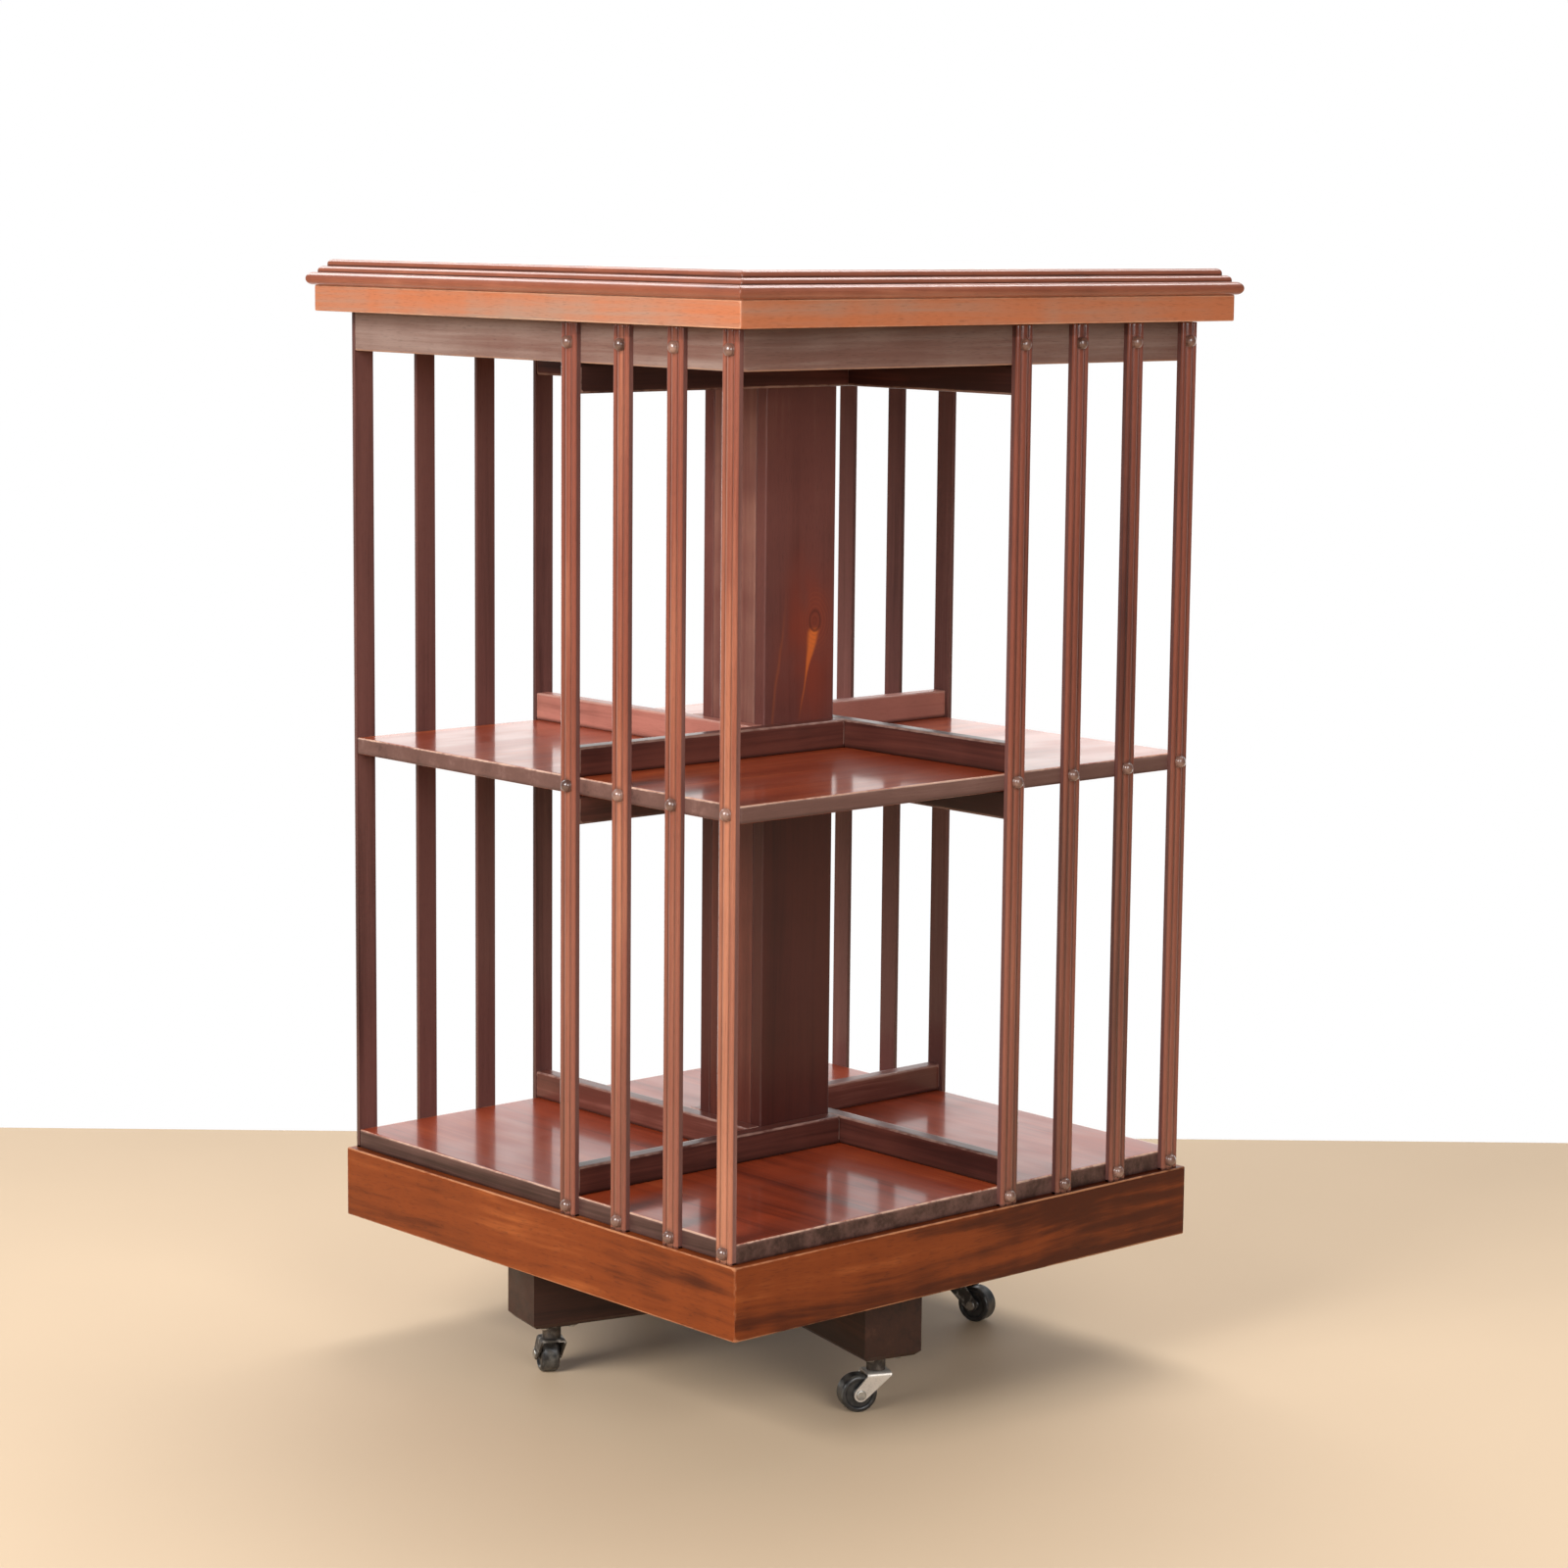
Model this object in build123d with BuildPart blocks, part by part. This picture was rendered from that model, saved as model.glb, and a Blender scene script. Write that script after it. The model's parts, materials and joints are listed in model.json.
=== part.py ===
from build123d import *
import os
from math import cos, radians, sin, sqrt

# A revolving bookcase. A square case of two tiers, each with four book bays set like the
# vanes of a pinwheel round a hollow column, turns on a steel spindle that stands on a
# crossed wooden foot with four swivel castors. Millimetres, +Z up, floor at Z = 0, and
# the spindle on the Z axis. The case's flat faces stand square to X and Y.

# ---------------------------------------------------------------- driving dimensions
# Carcass
case_side = 474.4            # over the carcass faces, without slats
tier_height = 314.0          # clear height of each tier of bays
base_shelf_thick = 15.3
mid_shelf_thick = 13.4
deck_thick = 12.0            # panel that closes the upper bays
arris = 0.8                  # easing of the boards' long edges

# Plinth
plinth_lift = 104.0          # floor to the plinth's lower edge
plinth_height = 56.6
plinth_margin = 1.5          # plinth's face past the slats' crests
plinth_thick = 18.0
glue_block_leg = 45.0
glue_block_height = 40.0

# Apron, frieze and moulded top
apron_drop = 31.5            # height of apron that shows below the frieze
apron_thick = 14.0
frieze_height = 20.5
frieze_overhang = 22.9       # past the carcass
bead_overhang = 28.3         # the top's outermost bead, past the carcass
bead_radius = 5.2
middle_round = 3.8           # radius of the middle step of the moulding
middle_setback = 7.1         # its nose behind the bead's nose
upper_round = 3.6            # radius of the top step
upper_setback = 12.7
quirk = 1.8                  # depth of the little upright below the top step
top_thick = 20.7

# Column and the rails that stop the books
column_side = 75.0
column_wall = 12.0
rail_thick = 14.0
rail_height = 23.0

# Reeded slats and their studs
slats_per_face = 4
slat_width = 18.0
slat_thick = 6.0
last_slat_inset = 5.6        # last slat's centre past the column's face
slat_top_gap = 1.0           # slat end to the frieze's underside
centre_reed = 7.6            # width of the middle reed
reed_depth = 1.6             # groove below the middle reed's crest
side_reed_drop = 0.4         # crest of a side reed below the middle crest
side_round = 2.4             # how far a side reed falls away at the slat's edge
stud_radius = 5.25
stud_stand = 4.0             # stud's crown past the middle reed
stud_rim = 1.2
stud_shoulder_out = 0.72     # shoulder of the dome, as a share of the stud's radius
stud_shoulder_up = 0.7       # its height, as a share of the dome's
stud_shank_radius = 2.0
stud_bite = 12.0             # shank length inside the board
stud_end_play = 0.5          # hole past the shank's end

# Foot cross
foot_turn = -13.8            # angle of the first arm from +X, case at rest
foot_clearance = 6.45        # arm's corner to the plinth's inside as the case turns
foot_width = 50.5
foot_height = 72.0
foot_chamfer = 4.0

# Spindle and its bearings
spindle_radius = 9.0
spindle_sink = 30.0          # depth of the spindle's socket in the foot
spindle_point = 2.0
running_fit = 0.05           # radial clearance of every turning fit
pivot_gap = 0.4              # end clearance under the pivot cup
flange_radius = 42.0
flange_thick = 6.0
boss_wall = 8.0
boss_height = 14.0
bush_wall = 4.0
bearing_flange_margin = 5.5  # flange's edge to the column's inside
bearing_flange_thick = 3.0
passage_clearance = 5.0      # round the spindle where it passes the middle shelf
pivot_rise = 30.0            # pivot block above the middle shelf
pivot_block_height = 30.0
pivot_cup_depth = 12.0

# Screws
screw_radius = 1.75
screw_head_radius = 3.5
screw_head_height = 2.0
screw_head_round = 1.2
screw_length = 14.0
screw_play = 0.05            # radial clearance of a screw in its hole
flange_screw_circle = 32.0
bearing_screw_count = 3

# Castors
castor_inset = 27.0          # kingpin from the arm's end
castor_trail = 15.5
castor_headings = (246.0, 14.0, 205.0, 153.0)   # way each wheel trails at rest
wheel_radius = 15.0
wheel_width = 15.0
wheel_round = 2.6
wheel_dish_radius = 11.0
wheel_dish_depth = 1.4
wheel_hub_radius = 5.0
axle_radius = 2.5
axle_head_radius = 4.0
axle_head_height = 1.3
fork_gap = 1.2               # cheek to wheel
cheek_thick = 1.8
cheek_lobe = 5.5
crown_length = 20.0
crown_thick = 1.6
crown_lift = 0.4             # crown's underside above the wheel's top
neck_height = 13.0           # crown to plate
plate_side = 34.0
plate_thick = 2.0
plate_corner = 4.0
plate_screw_pitch = 24.0
race_radius = 7.5
race_lip = 1.2
race_gap = 0.5               # race lip above the fork's crown
ball_radius = 1.2
ball_circle = 5.0
ball_count = 10
kingpin_radius = 3.0
kingpin_head_radius = 5.0
kingpin_head_height = 1.5
swivel_gap = 0.35            # kingpin head below the crown

# ---------------------------------------------------------------- worked-out places
half = case_side / 2
plinth_ledge = slat_thick + plinth_margin
plinth_half = half + plinth_ledge
plinth_inner = plinth_half - plinth_thick
plinth_top = plinth_lift + plinth_height
base_top = plinth_top + base_shelf_thick
mid_bottom = base_top + tier_height
mid_top = mid_bottom + mid_shelf_thick
deck_bottom = mid_top + tier_height
frieze_bottom = deck_bottom + apron_drop
cornice_top = frieze_bottom + frieze_height
overall_height = cornice_top + top_thick

column_half = column_side / 2
column_bore = column_half - column_wall
slat_crest = half + slat_thick
stud_seat = slat_crest - reed_depth
first_slat = half - slat_width / 2
slat_pitch = (first_slat - column_half - last_slat_inset) / (slats_per_face - 1)
slat_centres = [first_slat - n * slat_pitch for n in range(slats_per_face)]
stud_heights = [
    plinth_top + base_shelf_thick / 2,
    mid_bottom + mid_shelf_thick / 2,
    deck_bottom + apron_drop / 2,
]

crown_bottom = 2 * wheel_radius + crown_lift
crown_top = crown_bottom + crown_thick
plate_bottom = crown_top + neck_height
castor_height = plate_bottom + plate_thick
cheek_inner = wheel_width / 2 + fork_gap
cheek_outer = cheek_inner + cheek_thick

foot_top = castor_height + foot_height
lap_height = castor_height + foot_height / 2
foot_length = 2 * sqrt((plinth_inner - foot_clearance) ** 2 - (foot_width / 2) ** 2)
kingpin_circle = foot_length / 2 - castor_inset
boss_radius = spindle_radius + boss_wall
bush_radius = spindle_radius + bush_wall
bearing_flange_radius = column_bore - bearing_flange_margin
bearing_screw_circle = (bush_radius + bearing_flange_radius) / 2
pivot_block_bottom = mid_top + pivot_rise
pivot_cup_top = pivot_block_bottom - bearing_flange_thick
spindle_top = pivot_cup_top - pivot_gap

sides = ("front", "right", "back", "left")
foot_axes = [foot_turn + 90 * n for n in range(4)]
os.makedirs("parts", exist_ok=True)


def copy_of(piece):
    """A copy of a piece that can be given its own place."""
    return piece.moved(Location((0, 0, 0)))


def quarter_turns(piece):
    """Four copies of a piece of the -Y side, one for each side of the case."""
    return [piece.rotate(Axis.Z, 90 * n) for n in range(4)]


def arm_plane(angle, height=0.0):
    """A level plane whose X runs along a foot arm that points at the given angle."""
    along_arm = (cos(radians(angle)), sin(radians(angle)), 0)
    return Plane((0, 0, height), x_dir=along_arm, z_dir=(0, 0, 1))


def mitred_outline(outer, inner):
    """Plan of the -Y board of a square frame, mitred at both ends."""
    return [(-outer, -outer), (outer, -outer), (inner, -inner), (-inner, -inner)]


def face_plane(side, along, height, depth):
    """A plane on one side of the case that looks outwards, depth from the axis."""
    turned = Vector(along, -depth, height).rotate(Axis.Z, 90 * side)
    outward = Vector(0, -1, 0).rotate(Axis.Z, 90 * side)
    return Plane(turned, x_dir=(0, 0, 1), z_dir=outward)


def stud_planes(depth, heights):
    """Planes at every stud's axis on all four sides, for boards whose edge is at depth."""
    return [
        face_plane(side, along, height, depth)
        for side in range(4)
        for along in slat_centres
        for height in heights
    ]


# ---------------------------------------------------------------- foot cross
# Two beams halved into each other. The upper one keeps its top half at the lap and
# holds the spindle's socket; each end has pilot holes for one castor plate.
half_pitch = plate_screw_pitch / 2
pilot_radius = screw_radius + screw_play

for beam, angle, lap_floor, lap_side in (
    ("foot_arm_upper", foot_axes[0], castor_height, lap_height),
    ("foot_arm_lower", foot_axes[1], lap_height, foot_top),
):
    with BuildPart() as foot_arm:
        with BuildSketch(arm_plane(angle, castor_height)):
            Rectangle(foot_length, foot_width)
        extrude(amount=foot_height)
        chamfer(foot_arm.faces().sort_by(Axis.Z)[0].edges(), length=foot_chamfer)
        with BuildSketch(arm_plane(angle, lap_floor)):
            Rectangle(foot_width, foot_width)
        extrude(amount=lap_side - lap_floor, mode=Mode.SUBTRACT)
        if beam == "foot_arm_upper":
            with Locations(arm_plane(angle, foot_top)):
                Hole(radius=spindle_radius, depth=spindle_sink)
        with Locations(arm_plane(angle, foot_top)):
            with Locations((flange_screw_circle, 0), (-flange_screw_circle, 0)):
                Hole(radius=pilot_radius, depth=screw_length)
        for end in (kingpin_circle, -kingpin_circle):
            with Locations(arm_plane(angle, castor_height)):
                with Locations((end, 0, screw_length)):
                    with GridLocations(plate_screw_pitch, plate_screw_pitch, 2, 2):
                        Hole(radius=pilot_radius, depth=screw_length)
    foot_arm.part.label = beam
    export_step(foot_arm.part, f"parts/{beam}.step")

# ---------------------------------------------------------------- screws
# One round-headed screw, head at Z = 0 and below, shank upwards.
with BuildPart() as screw:
    Cylinder(screw_head_radius, screw_head_height, align=(Align.CENTER, Align.CENTER, Align.MAX))
    fillet(screw.edges().sort_by(Axis.Z)[0], radius=screw_head_round)
    Cylinder(screw_radius, screw_length, align=(Align.CENTER, Align.CENTER, Align.MIN))


def screw_group(name, places):
    """Write one node that holds a screw at each place."""
    group = Compound(label=name, children=[place * copy_of(screw.part) for place in places])
    export_step(group, f"parts/{name}.step")


# ---------------------------------------------------------------- spindle and foot flange
with BuildPart() as spindle:
    with BuildSketch(Plane.XY.offset(foot_top - spindle_sink)):
        Circle(spindle_radius)
    extrude(amount=spindle_top - foot_top + spindle_sink)
    chamfer(spindle.edges().sort_by(Axis.Z)[-1], length=spindle_point)
spindle.part.label = "spindle"
export_step(spindle.part, "parts/spindle.step")

with BuildPart() as spindle_flange:
    with BuildSketch(Plane.XY.offset(foot_top)):
        Circle(flange_radius)
    extrude(amount=flange_thick)
    with BuildSketch(Plane.XY.offset(foot_top)):
        Circle(boss_radius)
    extrude(amount=boss_height)
    fillet(spindle_flange.edges().filter_by(GeomType.CIRCLE).group_by(Axis.Z)[-1], radius=arris)
    with Locations(arm_plane(foot_turn, foot_top + boss_height)):
        Hole(radius=spindle_radius)
    with Locations(arm_plane(foot_turn, foot_top + flange_thick)):
        with PolarLocations(flange_screw_circle, 4):
            Hole(radius=pilot_radius, depth=flange_thick)
spindle_flange.part.label = "spindle_flange"
export_step(spindle_flange.part, "parts/spindle_flange.step")

flange_screw_places = [
    arm_plane(angle, foot_top + flange_thick).location
    * Location((flange_screw_circle, 0, 0))
    * Location((0, 0, 0), (180, 0, 0))
    for angle in foot_axes
]
screw_group("flange_screws", flange_screw_places)

# ---------------------------------------------------------------- bearings of the case
with BuildPart() as guide_bush:
    with BuildSketch(Plane.XY.offset(plinth_top)):
        Circle(bush_radius)
    extrude(amount=base_shelf_thick)
    with BuildSketch(Plane.XY.offset(plinth_top - bearing_flange_thick)):
        Circle(bearing_flange_radius)
    extrude(amount=bearing_flange_thick)
    with Locations((0, 0, base_top)):
        Hole(radius=spindle_radius + running_fit)
    with Locations((0, 0, plinth_top)):
        with PolarLocations(bearing_screw_circle, bearing_screw_count):
            Hole(radius=pilot_radius, depth=bearing_flange_thick)
guide_bush.part.label = "guide_bush"
export_step(guide_bush.part, "parts/guide_bush.step")

with BuildPart() as pivot_block:
    with BuildSketch(Plane.XY.offset(pivot_block_bottom)):
        Rectangle(2 * column_bore, 2 * column_bore)
    extrude(amount=pivot_block_height)
    with Locations((0, 0, pivot_block_bottom + screw_length)):
        with PolarLocations(bearing_screw_circle, bearing_screw_count):
            Hole(radius=pilot_radius, depth=screw_length)
pivot_block.part.label = "pivot_block"
export_step(pivot_block.part, "parts/pivot_block.step")

with BuildPart() as pivot_cup:
    with BuildSketch(Plane.XY.offset(pivot_cup_top)):
        Circle(bearing_flange_radius)
    extrude(amount=bearing_flange_thick)
    with BuildSketch(Plane.XY.offset(pivot_cup_top - pivot_cup_depth)):
        Circle(bush_radius)
        Circle(spindle_radius + running_fit, mode=Mode.SUBTRACT)
    extrude(amount=pivot_cup_depth)
    with Locations((0, 0, pivot_block_bottom)):
        with PolarLocations(bearing_screw_circle, bearing_screw_count):
            Hole(radius=pilot_radius, depth=bearing_flange_thick)
pivot_cup.part.label = "pivot_cup"
export_step(pivot_cup.part, "parts/pivot_cup.step")

bearing_screw_places = [
    Location((0, 0, seat), (0, 0, turn)) * Location((bearing_screw_circle, 0, 0))
    for seat in (plinth_top - bearing_flange_thick, pivot_cup_top)
    for turn in (n * 360 / bearing_screw_count for n in range(bearing_screw_count))
]
screw_group("bearing_screws", bearing_screw_places)

# ---------------------------------------------------------------- castors
# Each castor is drawn at the origin, kingpin on Z and wheel trailing along +X.
def axle_plane(across):
    """A plane on the axle's line that looks along -Y, across from the kingpin."""
    return Plane((castor_trail, -across, wheel_radius), x_dir=(1, 0, 0), z_dir=(0, -1, 0))


with BuildPart() as castor_fork:
    with BuildSketch(Plane.XY.offset(crown_bottom)):
        RectangleRounded(crown_length, 2 * cheek_outer, cheek_thick)
    extrude(amount=crown_thick)
    for cheek_face in (cheek_inner, -cheek_outer):
        with BuildSketch(Plane.XZ.offset(-cheek_face - cheek_thick)):
            with Locations((castor_trail, wheel_radius)):
                Circle(cheek_lobe)
            with Locations((0, crown_top - crown_thick / 2)):
                Rectangle(crown_length - 2 * cheek_thick, crown_thick)
            make_hull()
        extrude(amount=cheek_thick)
    with Locations((0, 0, crown_top)):
        Hole(radius=kingpin_radius + running_fit)
    with Locations(axle_plane(cheek_outer)):
        Hole(radius=axle_radius)

with BuildPart() as castor_wheel:
    with BuildSketch(Plane.XZ.offset(-wheel_width / 2)):
        with Locations((castor_trail, wheel_radius)):
            Circle(wheel_radius)
    extrude(amount=wheel_width)
    fillet(castor_wheel.edges().filter_by(GeomType.CIRCLE), radius=wheel_round)
    for dish_face in (-wheel_width / 2, wheel_width / 2 - wheel_dish_depth):
        with BuildSketch(Plane.XZ.offset(-dish_face - wheel_dish_depth)):
            with Locations((castor_trail, wheel_radius)):
                Circle(wheel_dish_radius)
                Circle(wheel_hub_radius, mode=Mode.SUBTRACT)
        extrude(amount=wheel_dish_depth, mode=Mode.SUBTRACT)
    with Locations(axle_plane(wheel_width / 2)):
        Hole(radius=axle_radius + running_fit)

with BuildPart() as castor_axle:
    with BuildSketch(Plane.XZ.offset(-cheek_outer)):
        with Locations((castor_trail, wheel_radius)):
            Circle(axle_radius)
    extrude(amount=2 * cheek_outer)
    for head_face in (cheek_outer, -cheek_outer - axle_head_height):
        with BuildSketch(Plane.XZ.offset(head_face)):
            with Locations((castor_trail, wheel_radius)):
                Circle(axle_head_radius)
        extrude(amount=axle_head_height)
    fillet(castor_axle.edges().filter_by(GeomType.CIRCLE).group_by(Axis.Y)[0], radius=arris)
    fillet(castor_axle.edges().filter_by(GeomType.CIRCLE).group_by(Axis.Y)[-1], radius=arris)

with BuildPart() as castor_plate:
    with BuildSketch(Plane.XY.offset(plate_bottom)):
        RectangleRounded(plate_side, plate_side, plate_corner)
    extrude(amount=plate_thick)
    with BuildSketch(Plane.XY.offset(crown_top + race_gap)):
        Circle(race_radius)
    extrude(amount=plate_bottom - crown_top - race_gap)
    with BuildSketch(Plane.XY.offset(crown_top + race_gap)):
        Circle(race_radius - race_lip)
    extrude(amount=2 * (ball_radius + running_fit) - race_gap, mode=Mode.SUBTRACT)
    with Locations((0, 0, castor_height)):
        Hole(radius=kingpin_radius)
        with GridLocations(plate_screw_pitch, plate_screw_pitch, 2, 2):
            Hole(radius=pilot_radius, depth=plate_thick)

with BuildPart() as castor_kingpin:
    with BuildSketch(Plane.XY.offset(crown_bottom - swivel_gap)):
        Circle(kingpin_radius)
    extrude(amount=castor_height - crown_bottom + swivel_gap)
    with BuildSketch(Plane.XY.offset(crown_bottom - swivel_gap - kingpin_head_height)):
        Circle(kingpin_head_radius)
    extrude(amount=kingpin_head_height)
    fillet(castor_kingpin.edges().sort_by(Axis.Z)[0], radius=arris)

with BuildPart() as castor_ball:
    Sphere(ball_radius)

kingpin_places = [arm_plane(angle).location * Location((kingpin_circle, 0, 0)) for angle in foot_axes]
for number, (angle, heading) in enumerate(zip(foot_axes, castor_headings), start=1):
    swivel = kingpin_places[number - 1] * Location((0, 0, 0), (0, 0, heading - angle))
    for name, piece in (("fork", castor_fork), ("wheel", castor_wheel), ("axle", castor_axle)):
        placed = swivel * copy_of(piece.part)
        placed.label = f"castor_{name}_{number}"
        export_step(placed, f"parts/castor_{name}_{number}.step")

castor_plates = Compound(
    label="castor_plates", children=[place * copy_of(castor_plate.part) for place in kingpin_places]
)
export_step(castor_plates, "parts/castor_plates.step")

castor_kingpins = Compound(
    label="castor_kingpins", children=[place * copy_of(castor_kingpin.part) for place in kingpin_places]
)
export_step(castor_kingpins, "parts/castor_kingpins.step")

ball_height = crown_top + running_fit + ball_radius
ball_places = [
    place * Location((0, 0, ball_height), (0, 0, n * 360 / ball_count)) * Location((ball_circle, 0, 0))
    for place in kingpin_places
    for n in range(ball_count)
]
castor_balls = Compound(
    label="castor_balls", children=[place * copy_of(castor_ball.part) for place in ball_places]
)
export_step(castor_balls, "parts/castor_balls.step")

castor_screw_places = [
    place * Location((along, across, plate_bottom))
    for place in kingpin_places
    for along in (-half_pitch, half_pitch)
    for across in (-half_pitch, half_pitch)
]
screw_group("castor_screws", castor_screw_places)

# ---------------------------------------------------------------- plinth
# Four mitred boards, with a three-cornered glue block in each inner corner.
with BuildPart() as plinth_board:
    with BuildSketch(Plane.XY.offset(plinth_lift)):
        Polygon(mitred_outline(plinth_half, plinth_inner), align=None)
    extrude(amount=plinth_height)
    fillet(plinth_board.edges().filter_by(Axis.X).group_by(Axis.Y)[0], radius=arris)
for side, board in zip(sides, quarter_turns(plinth_board.part)):
    board.label = f"plinth_board_{side}"
    export_step(board, f"parts/plinth_board_{side}.step")

with BuildPart() as glue_block:
    with BuildSketch(Plane.XY.offset(plinth_top - glue_block_height)):
        Polygon(
            (plinth_inner, -plinth_inner),
            (plinth_inner, -plinth_inner + glue_block_leg),
            (plinth_inner - glue_block_leg, -plinth_inner),
            align=None,
        )
    extrude(amount=glue_block_height)
glue_blocks = Compound(label="glue_blocks", children=quarter_turns(glue_block.part))
export_step(glue_blocks, "parts/glue_blocks.step")

# ---------------------------------------------------------------- shelves and deck
shank_hole = stud_shank_radius + screw_play
shank_depth = stud_bite + stud_end_play

with BuildPart() as base_shelf:
    with BuildSketch(Plane.XY.offset(plinth_top)):
        Rectangle(case_side, case_side)
    extrude(amount=base_shelf_thick)
    fillet(base_shelf.edges().filter_by(Plane.XY), radius=arris)
    with Locations(stud_planes(half, stud_heights[:1])):
        Hole(radius=shank_hole, depth=shank_depth)
    with Locations((0, 0, base_top)):
        Hole(radius=bush_radius)
    with Locations((0, 0, plinth_top + screw_length - bearing_flange_thick)):
        with PolarLocations(bearing_screw_circle, bearing_screw_count):
            Hole(radius=pilot_radius, depth=screw_length)
base_shelf.part.label = "base_shelf"
export_step(base_shelf.part, "parts/base_shelf.step")

with BuildPart() as mid_shelf:
    with BuildSketch(Plane.XY.offset(mid_bottom)):
        Rectangle(case_side, case_side)
    extrude(amount=mid_shelf_thick)
    fillet(mid_shelf.edges().filter_by(Plane.XY), radius=arris)
    with Locations(stud_planes(half, stud_heights[1:2])):
        Hole(radius=shank_hole, depth=shank_depth)
    with Locations((0, 0, mid_top)):
        Hole(radius=spindle_radius + passage_clearance)
mid_shelf.part.label = "mid_shelf"
export_step(mid_shelf.part, "parts/mid_shelf.step")

apron_inner = half - apron_thick
with BuildPart() as deck_panel:
    with BuildSketch(Plane.XY.offset(deck_bottom)):
        Rectangle(2 * apron_inner, 2 * apron_inner)
    extrude(amount=deck_thick)
deck_panel.part.label = "deck_panel"
export_step(deck_panel.part, "parts/deck_panel.step")

# ---------------------------------------------------------------- apron, frieze and top
# The shank of each side's corner stud passes through the mitre, so every apron board is
# bored for it from the neighbouring side as well.
with BuildPart() as apron_board:
    with BuildSketch(Plane.XY.offset(deck_bottom)):
        Polygon(mitred_outline(half, apron_inner), align=None)
    extrude(amount=apron_drop + frieze_height)
    lower_edge = apron_board.edges().filter_by(Axis.X).group_by(Axis.Y)[0].sort_by(Axis.Z)[0]
    fillet(lower_edge, radius=arris)
    apron_planes = [face_plane(0, along, stud_heights[2], half) for along in slat_centres]
    with Locations(apron_planes, face_plane(3, first_slat, stud_heights[2], half)):
        Hole(radius=shank_hole, depth=shank_depth)
apron_boards = Compound(label="apron_boards", children=quarter_turns(apron_board.part))
export_step(apron_boards, "parts/apron_boards.step")

frieze_half = half + frieze_overhang
with BuildPart() as frieze_moulding:
    with BuildSketch(Plane.XY.offset(frieze_bottom)):
        Polygon(mitred_outline(frieze_half, half), align=None)
    extrude(amount=frieze_height)
    lower_edge = frieze_moulding.edges().filter_by(Axis.X).group_by(Axis.Y)[0].sort_by(Axis.Z)[0]
    fillet(lower_edge, radius=arris)
frieze_mouldings = Compound(label="frieze_mouldings", children=quarter_turns(frieze_moulding.part))
export_step(frieze_mouldings, "parts/frieze_mouldings.step")

# The top's edge is a bead below two stepped rounds. The same outline run along X and
# along Y, and kept only where both agree, gives the square board with mitred corners.
bead_nose = half + bead_overhang
bead_top = overall_height - top_thick + 2 * bead_radius
middle_nose = bead_nose - middle_setback
upper_nose = bead_nose - upper_setback
upper_foot = overall_height - upper_round - quirk
middle_foot = upper_foot - middle_round
bead_centre_height = overall_height - top_thick + bead_radius

with BuildPart() as top_board:
    for outline_plane, outline_mode in ((Plane.XZ, Mode.ADD), (Plane.YZ, Mode.INTERSECT)):
        with BuildSketch(outline_plane):
            with BuildLine():
                flat = Line((0, overall_height), (upper_nose - upper_round, overall_height))
                top_arc = RadiusArc(flat @ 1, (upper_nose, overall_height - upper_round), upper_round)
                upper_quirk = Line(top_arc @ 1, (upper_nose, upper_foot))
                tread = Line(upper_quirk @ 1, (middle_nose - middle_round, upper_foot))
                middle_arc = RadiusArc(tread @ 1, (middle_nose, middle_foot), middle_round)
                middle_quirk = Line(middle_arc @ 1, (middle_nose, bead_top))
                lower_tread = Line(middle_quirk @ 1, (bead_nose - bead_radius, bead_top))
                bead = ThreePointArc(
                    lower_tread @ 1,
                    (bead_nose, bead_centre_height),
                    (bead_nose - bead_radius, overall_height - top_thick),
                )
                underside = Line(bead @ 1, (0, overall_height - top_thick))
                Line(underside @ 1, flat @ 0)
            make_face()
            mirror(about=Plane.YZ)
        extrude(amount=bead_nose, both=True, mode=outline_mode)
top_board.part.label = "top_board"
export_step(top_board.part, "parts/top_board.step")

# ---------------------------------------------------------------- column
# Each tier's column is a box of two wide boards, on the left and right, and two narrow
# boards butted between them.
for tier, tier_floor in (("lower", base_top), ("upper", mid_top)):
    with BuildPart() as wide_board:
        with BuildSketch(Plane.XY.offset(tier_floor)):
            with Locations((0, -column_half + column_wall / 2)):
                Rectangle(column_side, column_wall)
        extrude(amount=tier_height)
        fillet(wide_board.edges().filter_by(Axis.Z).group_by(Axis.Y)[0], radius=arris)
    with BuildPart() as narrow_board:
        with BuildSketch(Plane.XY.offset(tier_floor)):
            with Locations((column_half - column_wall / 2, 0)):
                Rectangle(column_wall, 2 * column_bore)
        extrude(amount=tier_height)
    boards = [
        board.part.rotate(Axis.Z, turn)
        for board in (wide_board, narrow_board)
        for turn in (90, 270)
    ]
    column_boards = Compound(label=f"column_{tier}_boards", children=boards)
    export_step(column_boards, f"parts/column_{tier}_boards.step")

# ---------------------------------------------------------------- rails
# In each set the four rails run from the column's faces to the carcass edge, and the
# inner end of each rail butts on the side of the next.
for name, rail_floor in (
    ("rails_on_base_shelf", base_top),
    ("rails_on_mid_shelf", mid_top),
    ("rails_under_mid_shelf", mid_bottom - rail_height),
    ("rails_under_deck", deck_bottom - rail_height),
):
    with BuildPart() as rail:
        with BuildSketch(Plane.XY.offset(rail_floor)):
            with Locations((column_half + rail_thick / 2, (column_half - half) / 2)):
                Rectangle(rail_thick, column_half + half)
        extrude(amount=rail_height)
    rails = Compound(label=name, children=quarter_turns(rail.part))
    export_step(rails, f"parts/{name}.step")

# ---------------------------------------------------------------- slats and studs
# A slat is flat behind and reeded in front: a wide reed between two narrow ones. A
# shallow round seat is cut into the reeds at each stud.
slat_edge = slat_width / 2
reed_edge = centre_reed / 2
side_crest = (slat_edge + reed_edge) / 2
slat_length = frieze_bottom - slat_top_gap - plinth_top

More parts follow.
